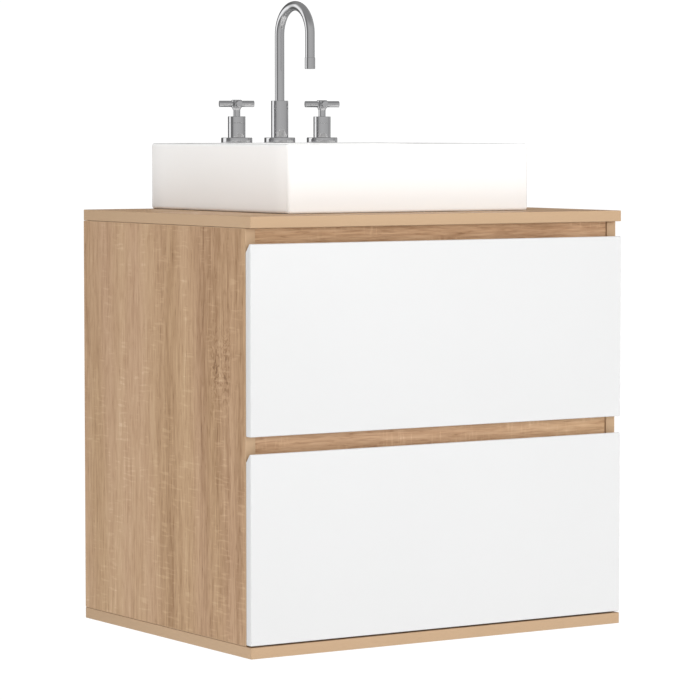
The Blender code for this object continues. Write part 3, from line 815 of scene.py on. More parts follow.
@dataclass(frozen=True)
class Metal(Finish):
    """A metal finish, with a faint clouding of its colour."""

    colour: tuple[float, float, float, float] = (0.6, 0.6, 0.6, 1.0)
    cloud: float = 0.06
    cloud_size: float = 30.0

    def material(self) -> bpy.types.Material:
        """The finish as a material."""
        made, graph, shader, where = self.start()
        self.wear(graph, shader, where)
        shader.inputs["Metallic"].default_value = 1.0
        size = (self.cloud_size,) * 3
        darker = dimmed(self.colour, 1 - self.cloud)
        spots = graph.noise(where, size, 3.0)
        graph.feed(shader.inputs["Base Color"], graph.mix(spots, darker, self.colour))
        return made


@dataclass(frozen=True)
class Palette:
    """Every finish of the vanity."""

    side_oak: Finish = Oak("oak_side", along=Axis.Z, across=Axis.Y, shift=(0.31, 0.7, 0.2),
                           stave_place=-0.150, stave_width=0.030, burl_place=0.375)
    far_side_oak: Finish = Oak("oak_far_side", along=Axis.Z, across=Axis.Y,
                               shift=(1.31, 2.7, 0.9), stave_place=0.06, stave_width=0.030,
                               burl_place=0.2)
    top_oak: Finish = Oak("oak_top", along=Axis.X, across=Axis.Y, shift=(0.9, 0.3, 0.5),
                          stave_place=0.05, stave_width=0.03, burl_place=0.2)
    # The rails' oak is a lighter copy of the board oak: its brighter tint is painted light,
    # standing in for light on the rails in the shaded gaps between the drawer fronts.
    rail_oak_painted_lighter: Finish = Oak("oak_rail_painted_lighter", along=Axis.X, across=Axis.Z, shift=(0.2, 1.3, 1.5),
                           stave_place=0.55, stave_width=0.012, burl_place=0.8,
                           tint=(1.0, 0.985, 0.95, 1.0))
    edge: Finish = EdgeBand("oak_edge_band", tone=linear(187, 157, 125))
    lacquer: Finish = Coating("white_satin_lacquer", "white_lacquer", (0.30, 0.40), 0.00001,
                              colour=(0.672, 0.674, 0.675, 1.0), waves=0.00003, wave_size=70.0)
    glaze: Finish = Coating("white_glaze", "glazed_ceramic", (0.06, 0.12), 0.000003,
                            colour=(0.94, 0.935, 0.925, 1.0), coat=0.3, waves=0.00008,
                            wave_size=14.0)
    melamine: Finish = Coating("drawer_melamine", "drawer_board", (0.45, 0.6), 0.00004,
                               colour=(0.74, 0.73, 0.70, 1.0))
    plastic: Finish = Coating("trap_plastic_moulded", "trap_plastic", (0.35, 0.5), 0.00003,
                              colour=(0.82, 0.82, 0.80, 1.0))
    chrome: Finish = Metal("polished_chrome", "chrome", (0.05, 0.11), 0.0000015,
                           colour=(0.62, 0.62, 0.63, 1.0), cloud=0.03)
    zinc: Finish = Metal("zinc_plate", "zinc_steel", (0.28, 0.45), 0.00001,
                         colour=(0.58, 0.59, 0.61, 1.0), cloud=0.22, cloud_size=160.0)
    brass: Finish = Metal("turned_brass", "brass", (0.25, 0.4), 0.00001,
                          colour=(0.66, 0.52, 0.28, 1.0), cloud=0.12)


class Dresser:
    """Gives pieces their finishes and bodies."""

    def __init__(self) -> None:
        """Starts with no material built."""
        self.built: dict[str, bpy.types.Material] = {}

    def material(self, finish: Finish) -> bpy.types.Material:
        """The material of a finish, built once."""
        if finish.name not in self.built:
            self.built[finish.name] = finish.material()
        return self.built[finish.name]

    def dress(
        self, piece: bpy.types.Object, body: Body, nodes: list[str], finish: Finish,
        edge: Finish | None = None, axis: Axis | None = None,
    ) -> bpy.types.Object:
        """Finishes a piece and ties it to the frame.

        Args:
            piece: The piece.
            body: The body that it rides on.
            nodes: The frame's nodes that it stands for.
            finish: The finish of its faces.
            edge: Another finish for the faces that don't look along the axis.
            axis: The direction that the broad faces look along.

        Returns:
            The piece.
        """
        piece.data.materials.clear()
        piece.data.materials.append(self.material(finish))
        if edge is not None and axis is not None:
            piece.data.materials.append(self.material(edge))
            normals = np.empty(len(piece.data.polygons) * 3, np.float32)
            piece.data.polygons.foreach_get("normal", normals)
            broad = np.abs(normals.reshape(-1, 3)[:, axis.value]) > 0.99
            piece.data.polygons.foreach_set("material_index", (~broad).astype(np.int32))
        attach(piece, body.value)
        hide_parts(*nodes)
        LOG.info("%s: %d faces on %s", piece.name, len(piece.data.polygons), body.value)
        return piece


@dataclass(kw_only=True)
class Assembly:
    """What every sub-assembly shares: its finishes, and the ways to give them to a piece."""

    dresser: Dresser = field(default_factory=Dresser)
    palette: Palette = field(default_factory=Palette)

    def dress(
        self, piece: bpy.types.Object, node: str, finish: Finish, body: Body = Body.CABINET
    ) -> None:
        """Finishes a piece that stands for one node."""
        self.dresser.dress(piece, body, [node], finish)

    def ring(
        self, node: str, profile: list, radii: object, centre: Array, finish: Finish,
        turn: Array | None = None, body: Body = Body.CABINET, closed: bool = True,
        arc: int = 4, steps: int = 64,
    ) -> None:
        """One turned piece.

        Args:
            node: The frame's node.
            profile: Corners of its (radius, height) profile.
            radii: The corners' rounding.
            centre: Where its axis starts.
            finish: Its finish.
            turn: A rotation for an axis that isn't upright.
            body: The body that it rides on.
            closed: Whether the profile joins its own start.
            arc: Pieces that each rounding is divided into.
            steps: Pieces that the turn is divided into.
        """
        path = rounded_path(profile, radii, closed, arc)
        piece = turned(f"{node}_finished", path, centre, steps, turn, closed)
        self.dress(piece, node, finish, body)


def hexagon(centre: Array, radius: float, round_share: float = 0.06) -> Array:
    """A nut's outline: six points on a circle, a sixth of a turn apart, with eased corners."""
    angle = np.arange(6) / 6 * FULL_TURN
    points = centre[:2] + radius * np.stack([np.cos(angle), np.sin(angle)], axis=1)
    return rounded_path(points, round_share * radius, True, 3)


def nut(node: str, centre: Array, bore: float, edge: float = 0.0005) -> bpy.types.Object:
    """A hexagonal nut as wide as the node's box, with a round bore.

    Args:
        node: The frame's node.
        centre: A point on the nut's axis.
        bore: Radius of the bore.
        edge: Rounding of its edges.

    Returns:
        The nut.
    """
    low, high = corners_of(node)
    outline = hexagon(centre, (high[0] - low[0]) / 2)
    piece = prism(f"{node}_finished", outline, Axis.Z, low[2], high[2], edge, 2)
    return combined(piece, [drill(bore, low[2] - bore, high[2] + bore, centre)], "DIFFERENCE")


def drill(
    radius: float, low: float, high: float, centre: Array, turn: Array | None = None
) -> bpy.types.Object:
    """A plain cylinder that cuts a round hole, from low to high along its axis."""
    profile = [(0.0, low), (radius, low), (radius, high), (0.0, high)]
    return turned("drill", profile, (centre[0], centre[1], centre[2]), 56, turn)


def corners_of(node: str) -> tuple[Array, Array]:
    """A frame node's lowest and highest corners."""
    low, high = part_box(node)
    return np.array(low), np.array(high)


def centre_of(node: str) -> Array:
    """The middle of a frame node's box."""
    return sum(corners_of(node)) / 2


def axis_of(node: str) -> Array:
    """Where a node's upright axis meets the height of the origin."""
    return centre_of(node) * (1.0, 1.0, 0.0)


def half_width(node: str) -> float:
    """Half the width of a frame node's box, which is a turned piece's radius."""
    low, high = corners_of(node)
    return (high[0] - low[0]) / 2


def board_shape(node: str, axis: Axis, edge: float, steps: int = 3) -> bpy.types.Object:
    """A board with eased edges that fills a node's box.

    Args:
        node: The frame's node.
        axis: The direction of its thickness.
        edge: Rounding of its edges.
        steps: Pieces that each corner's arc is divided into.

    Returns:
        The board, with no finish.
    """
    low, high = corners_of(node)
    a, b = axis.others()
    corners = [(low[a], low[b]), (high[a], low[b]), (high[a], high[b]), (low[a], high[b])]
    outline = rounded_path(corners, CORNER_SHARE * edge, True, steps)
    return prism(f"{node}_finished", outline, axis, low[axis.value], high[axis.value], edge)


# ---------------------------------------------------------------- cabinet


@dataclass
class Carcass(Assembly):
    """The open case of boards and rails, with its two wall hangers."""

    edge: float = 0.0008
    tap_hole: float = 0.014
    waste_hole: float = 0.035

    def board(self, node: str, axis: Axis, finish: Finish) -> bpy.types.Object:
        """One board with eased edges, plain tape round its edge and decor on its faces.

        Args:
            node: The frame's node.
            axis: The direction of its thickness.
            finish: The decor.

        Returns:
            The board.
        """
        piece = board_shape(node, axis, self.edge)
        return self.dresser.dress(piece, Body.CABINET, [node], finish, self.palette.edge, axis)

    def build_top(self) -> None:
        """The top board, with its holes for the waste and the tap shanks."""
        top = board_shape("top_board", Axis.Z, self.edge)
        low, high = corners_of("top_board")
        places = [("waste_fitting", self.waste_hole)]
        places += [(f"{name}_body", self.tap_hole) for name in ("hot", "spout", "cold")]
        drills = []
        for node, radius in places:
            drills.append(drill(radius, low[2] - radius, high[2] + radius, axis_of(node)))
        combined(top, drills, "DIFFERENCE")
        self.dresser.dress(
            top, Body.CABINET, ["top_board"], self.palette.top_oak, self.palette.edge, Axis.Z
        )

    def build(self) -> None:
        """Every board, rail and hanger."""
        palette = self.palette
        self.build_top()
        self.board("bottom_board", Axis.Z, palette.top_oak)
        self.board("left_side_panel", Axis.X, palette.side_oak)
        self.board("right_side_panel", Axis.X, palette.far_side_oak)
        # The rails take the lighter copy of the oak, whose brighter tint is painted light for the
        # shaded gaps.
        for node in ("top_rail", "middle_rail", "upper_back_rail", "lower_back_rail"):
            self.board(node, Axis.Y, palette.rail_oak_painted_lighter)
        for node in ("left_wall_hanger", "right_wall_hanger"):
            self.dress(board_shape(node, Axis.X, self.edge), node, palette.zinc)


@dataclass
class DrawerFront(Assembly):
    """A lacquered front with a finger bevel behind its top edge."""

    name: str
    body: Body
    edge: float = 0.0011
    bevel_depth: float = 0.009
    bevel_height: float = 0.011

    def build(self) -> None:
        """The front, as its upright section drawn out across the cabinet."""
        node = f"{self.name}_front"
        low, high = corners_of(node)
        section = rounded_path(
            [(low[1], low[2]), (high[1], low[2]), (high[1], high[2] - self.bevel_height),
             (high[1] - self.bevel_depth, high[2]), (low[1], high[2])],
            CORNER_SHARE * self.edge, closed=True, steps=5,
        )
        piece = prism(f"{node}_finished", section, Axis.X, low[0], high[0], self.edge, 4)
        self.dress(piece, node, self.palette.lacquer, self.body)


@dataclass
class DrawerBox(Assembly):
    """The box behind a front: plain boards, and in the upper drawer the guard round the trap."""

    name: str
    body: Body
    boards: dict[str, Axis]
    notched: bool = False
    guard: float = 0.004
    bend: float = 0.012
    edge: float = 0.0006

    def build(self) -> None:
        """Every board of the box."""
        for part, axis in self.boards.items():
            node = f"{self.name}_{part}"
            piece = board_shape(node, axis, self.edge, 2)
            self.dress(piece, node, self.palette.melamine, self.body)
        if self.notched:
            self.build_notched()

    def build_notched(self) -> None:
        """The base with its notch, and the bent guard that stands round it."""
        base_low, base_high = corners_of(f"{self.name}_base")
        low, high = corners_of(f"{self.name}_trap_guard")
        wall = self.guard
        outline = [
            (base_low[0], base_low[1]), (base_high[0], base_low[1]), (base_high[0], base_high[1]),
            (high[0] - wall, base_high[1]), (high[0] - wall, low[1] + wall),
            (low[0] + wall, low[1] + wall), (low[0] + wall, base_high[1]),
            (base_low[0], base_high[1]),
        ]
        base = prism(
            f"{self.name}_base_finished",
            rounded_path(outline, CORNER_SHARE * self.edge, True, 2), Axis.Z,
            base_low[2], base_high[2], self.edge,
        )
        self.dress(base, f"{self.name}_base", self.palette.melamine, self.body)
        bend = self.bend
        outline = [
            (low[0], high[1]), (low[0], low[1]), (high[0], low[1]), (high[0], high[1]),
            (high[0] - wall, high[1]), (high[0] - wall, low[1] + wall),
            (low[0] + wall, low[1] + wall), (low[0] + wall, high[1]),
        ]
        end = CORNER_SHARE * self.edge
        radii = [end, bend, bend, end, end, bend - wall, bend - wall, end]
        guard = prism(
            f"{self.name}_trap_guard_finished", rounded_path(outline, radii, True, 6), Axis.Z,
            low[2], high[2], self.edge,
        )
        self.dress(guard, f"{self.name}_trap_guard", self.palette.plastic, self.body)


@dataclass
class Runners(Assembly):
    """The nested steel channels on both sides of one drawer."""

    name: str
    drawer: Body
    middle: Body
    steel: float = 0.0014
    bend: float = 0.0018
    hem: float = 0.0004
    edge: float = 0.0003

    def channel(self, node: str, body: Body, opens: float) -> None:
        """One channel with bent corners.

        Args:
            node: The frame's node.
            body: The body that it rides on.
            opens: 1 where it opens towards +X, or -1.
        """
        low, high = corners_of(node)
        web, lip = (low[0], high[0]) if opens > 0 else (high[0], low[0])
        inner = web + opens * self.steel
        bottom, top = low[2], high[2]
        outline = [
            (web, bottom), (lip, bottom), (lip, bottom + self.steel),
            (inner, bottom + self.steel), (inner, top - self.steel), (lip, top - self.steel),
            (lip, top), (web, top),
        ]
        bend, hem = self.bend, self.hem
        radii = [bend, hem, hem, hem, hem, hem, hem, bend]
        piece = prism(
            f"{node}_finished", rounded_path(outline, radii, True, 4), Axis.Y, low[1], high[1],
            self.edge, 2,
        )
        self.dress(piece, node, self.palette.zinc, body)

    def build(self) -> None:
        """The three channels on each side."""
        for hand, inward in (("left", 1.0), ("right", -1.0)):
            self.channel(f"{self.name}_{hand}_cabinet_member", Body.CABINET, inward)
            self.channel(f"{self.name}_{hand}_middle_member", self.middle, inward)
            self.channel(f"{self.name}_{hand}_drawer_member", self.drawer, -inward)


# ---------------------------------------------------------------- sink


@dataclass
class VesselSink(Assembly):
    """The glazed basin, as one surface from its foot over the rim and down to the waste."""

    corner: float = 0.006
    foot_round: float = 0.0034
    top_round: float = 0.0042
    lip_round: float = 0.0035
    rim: float = 0.015
    deck: float = 0.060
    wall: float = 0.012
    depth: float = 0.074
    draft: float = 0.0025
    bowl_corner: float = 0.030
    floor_round: float = 0.018
    fall: float = 0.0018
    waste_hole: float = 0.0225
    tap_hole: float = 0.0084
    overflow_hole: float = 0.011
    side: int = 12
    arc: int = 8

    def loops(self) -> Array:
        """The basin's rings, from the foot outside to the waste hole's lower edge.

        A ring is a rounded rectangle drawn in by an inset at a height. Round edges take
        inset r(1 - cos t) and height r sin t. The floor's rings go evenly from the rounded
        rectangle to a circle round the waste, and fall a little on the way.

        Returns:
            Points as rings, places round a ring and (x, y, z).
        """
        low, high = corners_of("sink_basin")
        base, top = low[2], high[2]
        quarter = np.linspace(0.0, math.pi / 2, self.arc + 1)
        rise, run = np.sin(quarter), 1 - np.cos(quarter)
        foot = np.stack([self.foot_round * run[::-1], base + self.foot_round * (1 - rise[::-1])], 1)
        flank = np.array([[0.0, base + 0.005], [0.0, top - self.top_round - 0.002]])
        crown = np.stack([
            self.top_round * run, top - self.top_round + self.top_round * rise
        ], 1)
        outer = np.concatenate([foot, flank, crown, [[self.top_round + 0.0005, top]]])
        rings = [self.ring(low[:2], high[:2], self.corner, inset, z) for inset, z in outer]

        bowl_low = low[:2] + self.rim
        bowl_high = high[:2] - np.array([self.rim, self.deck])
        lip = np.stack([
            -self.lip_round * (1 - rise), top - self.lip_round * run
        ], 1)
        floor_z = top - self.depth
        floor = np.stack([
            self.draft + self.floor_round * run,
            floor_z + self.floor_round * (1 - rise),
        ], 1)
        inner = np.concatenate([
            [[-self.lip_round - 0.0005, top]], lip, [[0.0003, top - self.lip_round - 0.002]],
            [[self.draft * 0.95, floor_z + self.floor_round + 0.002]], floor,
            [[self.draft + self.floor_round + 0.0006, floor_z]],
        ])
        rings += [self.ring(bowl_low, bowl_high, self.bowl_corner, i, z) for i, z in inner]

        centre = centre_of("waste_fitting")[:2]
        last = rings[-1]
        spoke = unit(last[:, :2] - centre)
        circle = np.concatenate(
            [centre + self.waste_hole * spoke, np.full((len(last), 1), floor_z)], axis=1
        )
        share = np.linspace(0.0, 1.0, 12)[1:, None, None]
        slope = last[None] * (1 - share) + circle[None] * share
        slope[..., 2] -= self.fall * np.sin(share[..., 0] * math.pi / 2)
        bore = circle[None].repeat(2, axis=0)
        bore[:, :, 2] = np.array([[floor_z - self.fall - 0.0005], [base]])
        return np.concatenate([np.array(rings), slope, bore])

    def ring(self, low: Array, high: Array, radius: float, inset: float, z: float) -> Array:
        """One rounded rectangle drawn in by an inset, at a height."""
        flat = rounded_rectangle(
            low + inset, high - inset, max(radius - inset, 0.0008), self.side, self.arc
        )
        return np.concatenate([flat, np.full((len(flat), 1), z)], axis=1)

    def hollow(self) -> bpy.types.Object:
        """The space under the basin: the inside of its outer walls, less the bowl's skin.

        The skin's rings are the bowl's, grown by the wall, with the floor's round outside it.

        Returns:
            The shape to cut away.
        """
        low, high = corners_of("sink_basin")
        under, deck = low[2] - self.wall, high[2] - self.wall
        inner = [self.ring(low[:2], high[:2], self.corner, self.wall, z) for z in (under, deck)]
        space = piece_from("hollow", np.array(inner), caps=True)
        bowl_low = low[:2] + self.rim - self.wall
        bowl_high = high[:2] - np.array([self.rim, self.deck]) + self.wall
        quarter = np.linspace(0.0, math.pi / 2, self.arc + 1)
        radius, floor = self.floor_round + self.wall, high[2] - self.depth - self.wall
        levels = [(radius * (1 - math.sin(t)), floor + radius * (1 - math.cos(t))) for t in quarter]
        skin = [
            self.ring(bowl_low, bowl_high, self.bowl_corner + self.wall, inset, z)
            for inset, z in [*levels, (0.0, high[2])]
        ]
        return combined(space, [piece_from("skin", np.array(skin), caps=True)], "DIFFERENCE")

    def build(self) -> None:
        """The basin, hollow underneath, with its overflow and tap holes."""
        basin = piece_from("sink_basin_finished", self.loops(), wrap_rows=True, sharp=45.0)
        top = corners_of("sink_basin")[1][2]
        cuts = [self.hollow()]
        for name in ("hot", "spout", "cold"):
            centre = axis_of(f"{name}_body") + (0.0, 0.0, top)
            cuts.append(drill(self.tap_hole, -2 * self.wall, self.wall, centre))
        ring = centre_of("overflow_ring")
        cuts.append(drill(self.overflow_hole, -2 * self.wall, self.wall, ring, Y_AXIS))
        combined(basin, cuts, "DIFFERENCE", 40.0)
        self.dress(basin, "sink_basin", self.palette.glaze)


# ---------------------------------------------------------------- waste and trap


@dataclass
class Plumbing(Assembly):
    """Waste, plug, overflow ring, tail pipe and bottle trap."""

    tube: float = 0.0200
    bore: float = 0.0175
    flange: float = 0.0025
    thin: float = 0.0015
    trap_wall: float = 0.003
    overflow_bore: float = 0.0085
    stem: float = 0.004

    def build(self) -> None:
        """Every piece from the bowl to the wall."""
        palette = self.palette
        low, high = corners_of("waste_fitting")
        centre, rim = axis_of("waste_fitting"), half_width("waste_fitting")
        bore, tube, seat = self.bore, self.tube, high[2] - self.flange
        self.ring(
            "waste_fitting",
            [(bore, high[2] - 0.0013), (bore + 0.003, high[2] - 0.0012), (rim - 0.004, high[2]),
             (rim, seat + 0.0006), (rim, seat), (tube, seat), (tube, low[2]), (bore, low[2])],
            [0.0006, 0.001, 0.002, 0.0004, 0.0002, 0.0004, 0.0004, 0.0004], centre,
            palette.chrome,
        )
        low, high = corners_of("popup_plug")
        edge, stem, top = half_width("popup_plug"), self.stem, high[2]
        self.ring(
            "popup_plug",
            [(0.0, top), (edge - 0.004, top - 0.0004), (edge, top - 0.0022), (edge, top - 0.005),
             (stem, top - 0.005), (stem, low[2]), (0.0, low[2])],
            [0.0, 0.004, 0.001, 0.0004, 0.0008, 0.0008, 0.0], centre, palette.chrome,
            body=Body.PLUG, closed=False,
        )
        self.dress(nut("waste_nut", centre, self.tube + SLACK), "waste_nut", palette.brass)
        low, high = corners_of("waste_tailpiece")
        outer = half_width("waste_tailpiece")
        inner = outer - self.thin
        self.ring(
            "waste_tailpiece",
            [(inner, high[2]), (outer, high[2]), (outer, low[2]), (inner, low[2])],
            0.0004, centre, palette.chrome,
        )
        self.build_trap(centre)
        low, high = corners_of("overflow_ring")
        middle = centre_of("overflow_ring")
        outer, face, back = half_width("overflow_ring"), -low[1], -high[1]
        self.ring(
            "overflow_ring",
            [(self.overflow_bore, face - 0.0003), (outer - 0.003, face), (outer, face - 0.001),
             (outer, face - self.thin), (0.0107, face - self.thin), (0.0107, back),
             (self.overflow_bore, back)],
            [0.0003, 0.001, 0.0004, 0.0001, 0.0002, 0.0002, 0.0002],
            (middle[0], 0.0, middle[2]), palette.chrome, Y_AXIS,
        )

    def build_trap(self, centre: Array) -> None:
        """The trap's housing, cup and outlet pipe."""
        palette = self.palette
        low, high = corners_of("trap_housing")
        cup_low, cup_high = corners_of("trap_cup")
        pipe_low, pipe_high = corners_of("trap_outlet_pipe")
        outer, wall, neck = half_width("trap_housing"), self.trap_wall, self.bore
        shell = outer - wall
        path = rounded_path(
            [(neck, high[2]), (outer, high[2]), (outer, low[2]), (shell, low[2]),
             (shell, high[2] - wall), (neck, high[2] - wall)],
            [0.0006, 0.005, 0.0006, 0.0006, 0.003, 0.0006], True, 5,
        )
        housing = turned("trap_housing_finished", path, centre, 72, closed=True)
        pipe = half_width("trap_outlet_pipe")
        axis_z = (pipe_high[2] + pipe_low[2]) / 2
        middle = np.array([centre[0], centre[1], axis_z])
        outlet = drill(pipe + 0.0004, -2 * outer, -shell / 2, middle, Y_AXIS)
        combined(housing, [outlet], "DIFFERENCE")
        self.dress(housing, "trap_housing", palette.plastic)
        self.ring(
            "trap_cup",
            [(shell, cup_high[2]), (outer, cup_high[2]), (outer, cup_low[2]), (0.0, cup_low[2]),
             (0.0, cup_low[2] + wall), (shell, cup_low[2] + wall)],
            [0.0006, 0.0006, 0.008, 0.0, 0.0, 0.005], centre, palette.plastic,
        )
        self.ring(
            "trap_outlet_pipe",
            [(pipe - self.thin, -pipe_low[1]), (pipe, -pipe_low[1]), (pipe, -pipe_high[1]),
             (pipe - self.thin, -pipe_high[1])],
            0.0003, (centre[0], 0.0, axis_z), palette.plastic, Y_AXIS,
        )


# ---------------------------------------------------------------- taps


@dataclass
class TapBase(Assembly):
    """Flange, body and lock nut of one tap on the deck."""

    name: str
    bore: float
    bore_depth: float
    joint: float = 0.0
    flange_round: float = 0.0009
    body_round: float = 0.0005
    shank: float = 0.008

    def build(self) -> None:
        """The three turned pieces."""
        low, high = corners_of(f"{self.name}_body")
        flange_low, flange_high = corners_of(f"{self.name}_flange")
        centre, chrome, shank = axis_of(f"{self.name}_body"), self.palette.chrome, self.shank
        radius, flange = half_width(f"{self.name}_body"), half_width(f"{self.name}_flange")
        deck, top, hole = flange_low[2], high[2], radius + SLACK
        self.ring(
            f"{self.name}_flange",
            [(hole, flange_high[2]), (flange, flange_high[2]), (flange, deck), (hole, deck)],
            [0.0002, self.flange_round, 0.0003, 0.0002], centre, chrome, arc=5, steps=96,
        )
        corners = [(0.0, top - self.bore_depth), (self.bore, top - self.bore_depth),
                   (self.bore, top), (radius, top)]
        radii = [0, 0, 0.0002, self.body_round]
        if self.joint:
            line = top - self.joint
            corners += [(radius, line), (radius - 0.0004, line - 0.0002), (radius, line - 0.0004)]
            radii += [0.00008, 0.00005, 0.00008]
        corners += [(radius, deck), (shank, deck), (shank, low[2]), (0.0, low[2])]
        radii += [0.0003, 0.0003, 0.0005, 0]
        self.ring(
            f"{self.name}_body", corners, radii, centre, chrome, closed=False, arc=5, steps=80
        )
        piece = nut(f"{self.name}_lock_nut", centre, shank + SLACK)
        self.dress(piece, f"{self.name}_lock_nut", self.palette.brass)


@dataclass
class CrossHandle(Assembly):
    """Spindle and four-armed handle of a valve."""

    name: str
    body: Body
    arm: float = 0.0045
    reach: float = 0.0252
    hub: float = 0.0075
    flare: float = 0.0013
    angle: float = math.radians(-21.0)

    def build(self) -> None:
        """The two pieces that turn together."""
        low, high = corners_of(f"{self.name}_spindle")
        centre, radius = axis_of(f"{self.name}_spindle"), half_width(f"{self.name}_spindle")
        self.ring(
            f"{self.name}_spindle",
            [(0.0, high[2]), (radius + self.flare, high[2]), (radius, high[2] - 2 * self.flare),
             (radius, low[2]), (0.0, low[2])],
            [0, 0.0002, 0.0025, 0.0004, 0], centre, self.palette.chrome, body=self.body,
            closed=False, arc=5,
        )
        low, high = corners_of(f"{self.name}_cross_handle")
        path = rounded_path(
            [(0.0, high[2]), (self.hub, high[2]), (self.hub, low[2]), (0.0, low[2])],
            [0, 0.0014, 0.0014, 0], False, 6,
        )
        handle = turned(f"{self.name}_cross_handle_finished", path, centre, 64)
        arms = []
        middle = (*centre[:2], (low[2] + high[2]) / 2)
        end = rounded_path(
            [(0.0, self.reach), (self.arm, self.reach), (self.arm, -self.reach),
             (0.0, -self.reach)], [0, 0.0008, 0.0008, 0], False, 5,
        )
        for quarter in (0.0, math.pi / 2):
            c, s = math.cos(self.angle + quarter), math.sin(self.angle + quarter)
            lay = np.array([[0.0, -s, c], [0.0, c, s], [-1.0, 0.0, 0.0]])
            arms.append(turned("arm", end, middle, 56, lay))
        combined(handle, arms, "UNION", 34.0)
        self.dress(handle, f"{self.name}_cross_handle", self.palette.chrome, self.body)


@dataclass
class Gooseneck(Assembly):
    """The swivelling spout: bent tube, outlet ring and aerator."""

    wall: float = 0.0012
    bend_steps: int = 48
    mesh_step: float = 0.0012

    def build(self) -> None:
        """The three pieces that swivel together."""
        low, high = corners_of("gooseneck")
        ring_low, ring_high = corners_of("spout_tip_ring")
        tube = half_width("gooseneck")
        back_y, front_y = high[1] - tube, low[1] + tube
        bend = (back_y - front_y) / 2
        middle_y, bend_z = (back_y + front_y) / 2, high[2] - tube - bend
        turn = np.linspace(0.0, math.pi, self.bend_steps + 1)
        arc = np.stack([middle_y + bend * np.cos(turn), bend_z + bend * np.sin(turn)], 1)
        up = np.stack([np.full(8, back_y), np.linspace(low[2], bend_z, 8, endpoint=False)], 1)
        tip_z = ring_low[2] + 0.0045
        down = np.stack([np.full(4, front_y), np.linspace(bend_z, tip_z, 5)[1:]], 1)
        path = np.concatenate([up, arc, down])
        neck = bent_tube("gooseneck_finished", path, 0.0, tube, tube - self.wall)
        self.dress(neck, "gooseneck", self.palette.chrome, Body.SPOUT)
        outer, inner = half_width("spout_tip_ring"), tube + SLACK
        self.ring(
            "spout_tip_ring",
            [(inner, ring_high[2]), (outer, ring_high[2]), (outer, ring_low[2]),
             (inner, ring_low[2])],
            [0.0001, 0.0004, 0.0008, 0.0003], (0.0, front_y, 0.0), self.palette.chrome,
            body=Body.SPOUT,
        )
        self.build_aerator(front_y)

    def build_aerator(self, y: float) -> None:
        """A disc with fine concentric ripples pressed into its lower face.

        Args:
            y: Where the outlet's axis stands.
        """
        low, high = corners_of("spout_aerator")
        radius = half_width("spout_aerator")
        rings = np.linspace(radius, 0.0, 14)
        ripple = 0.0002 * np.sin(rings / self.mesh_step * FULL_TURN) ** 2
        lower = np.stack([rings, low[2] + ripple], 1)
        path = np.concatenate([[[0.0, high[2]], [radius, high[2]]], lower])
        piece = turned("spout_aerator_finished", path, (0.0, y, 0.0), 48)
        self.dress(piece, "spout_aerator", self.palette.zinc, Body.SPOUT)


# ---------------------------------------------------------------- studio


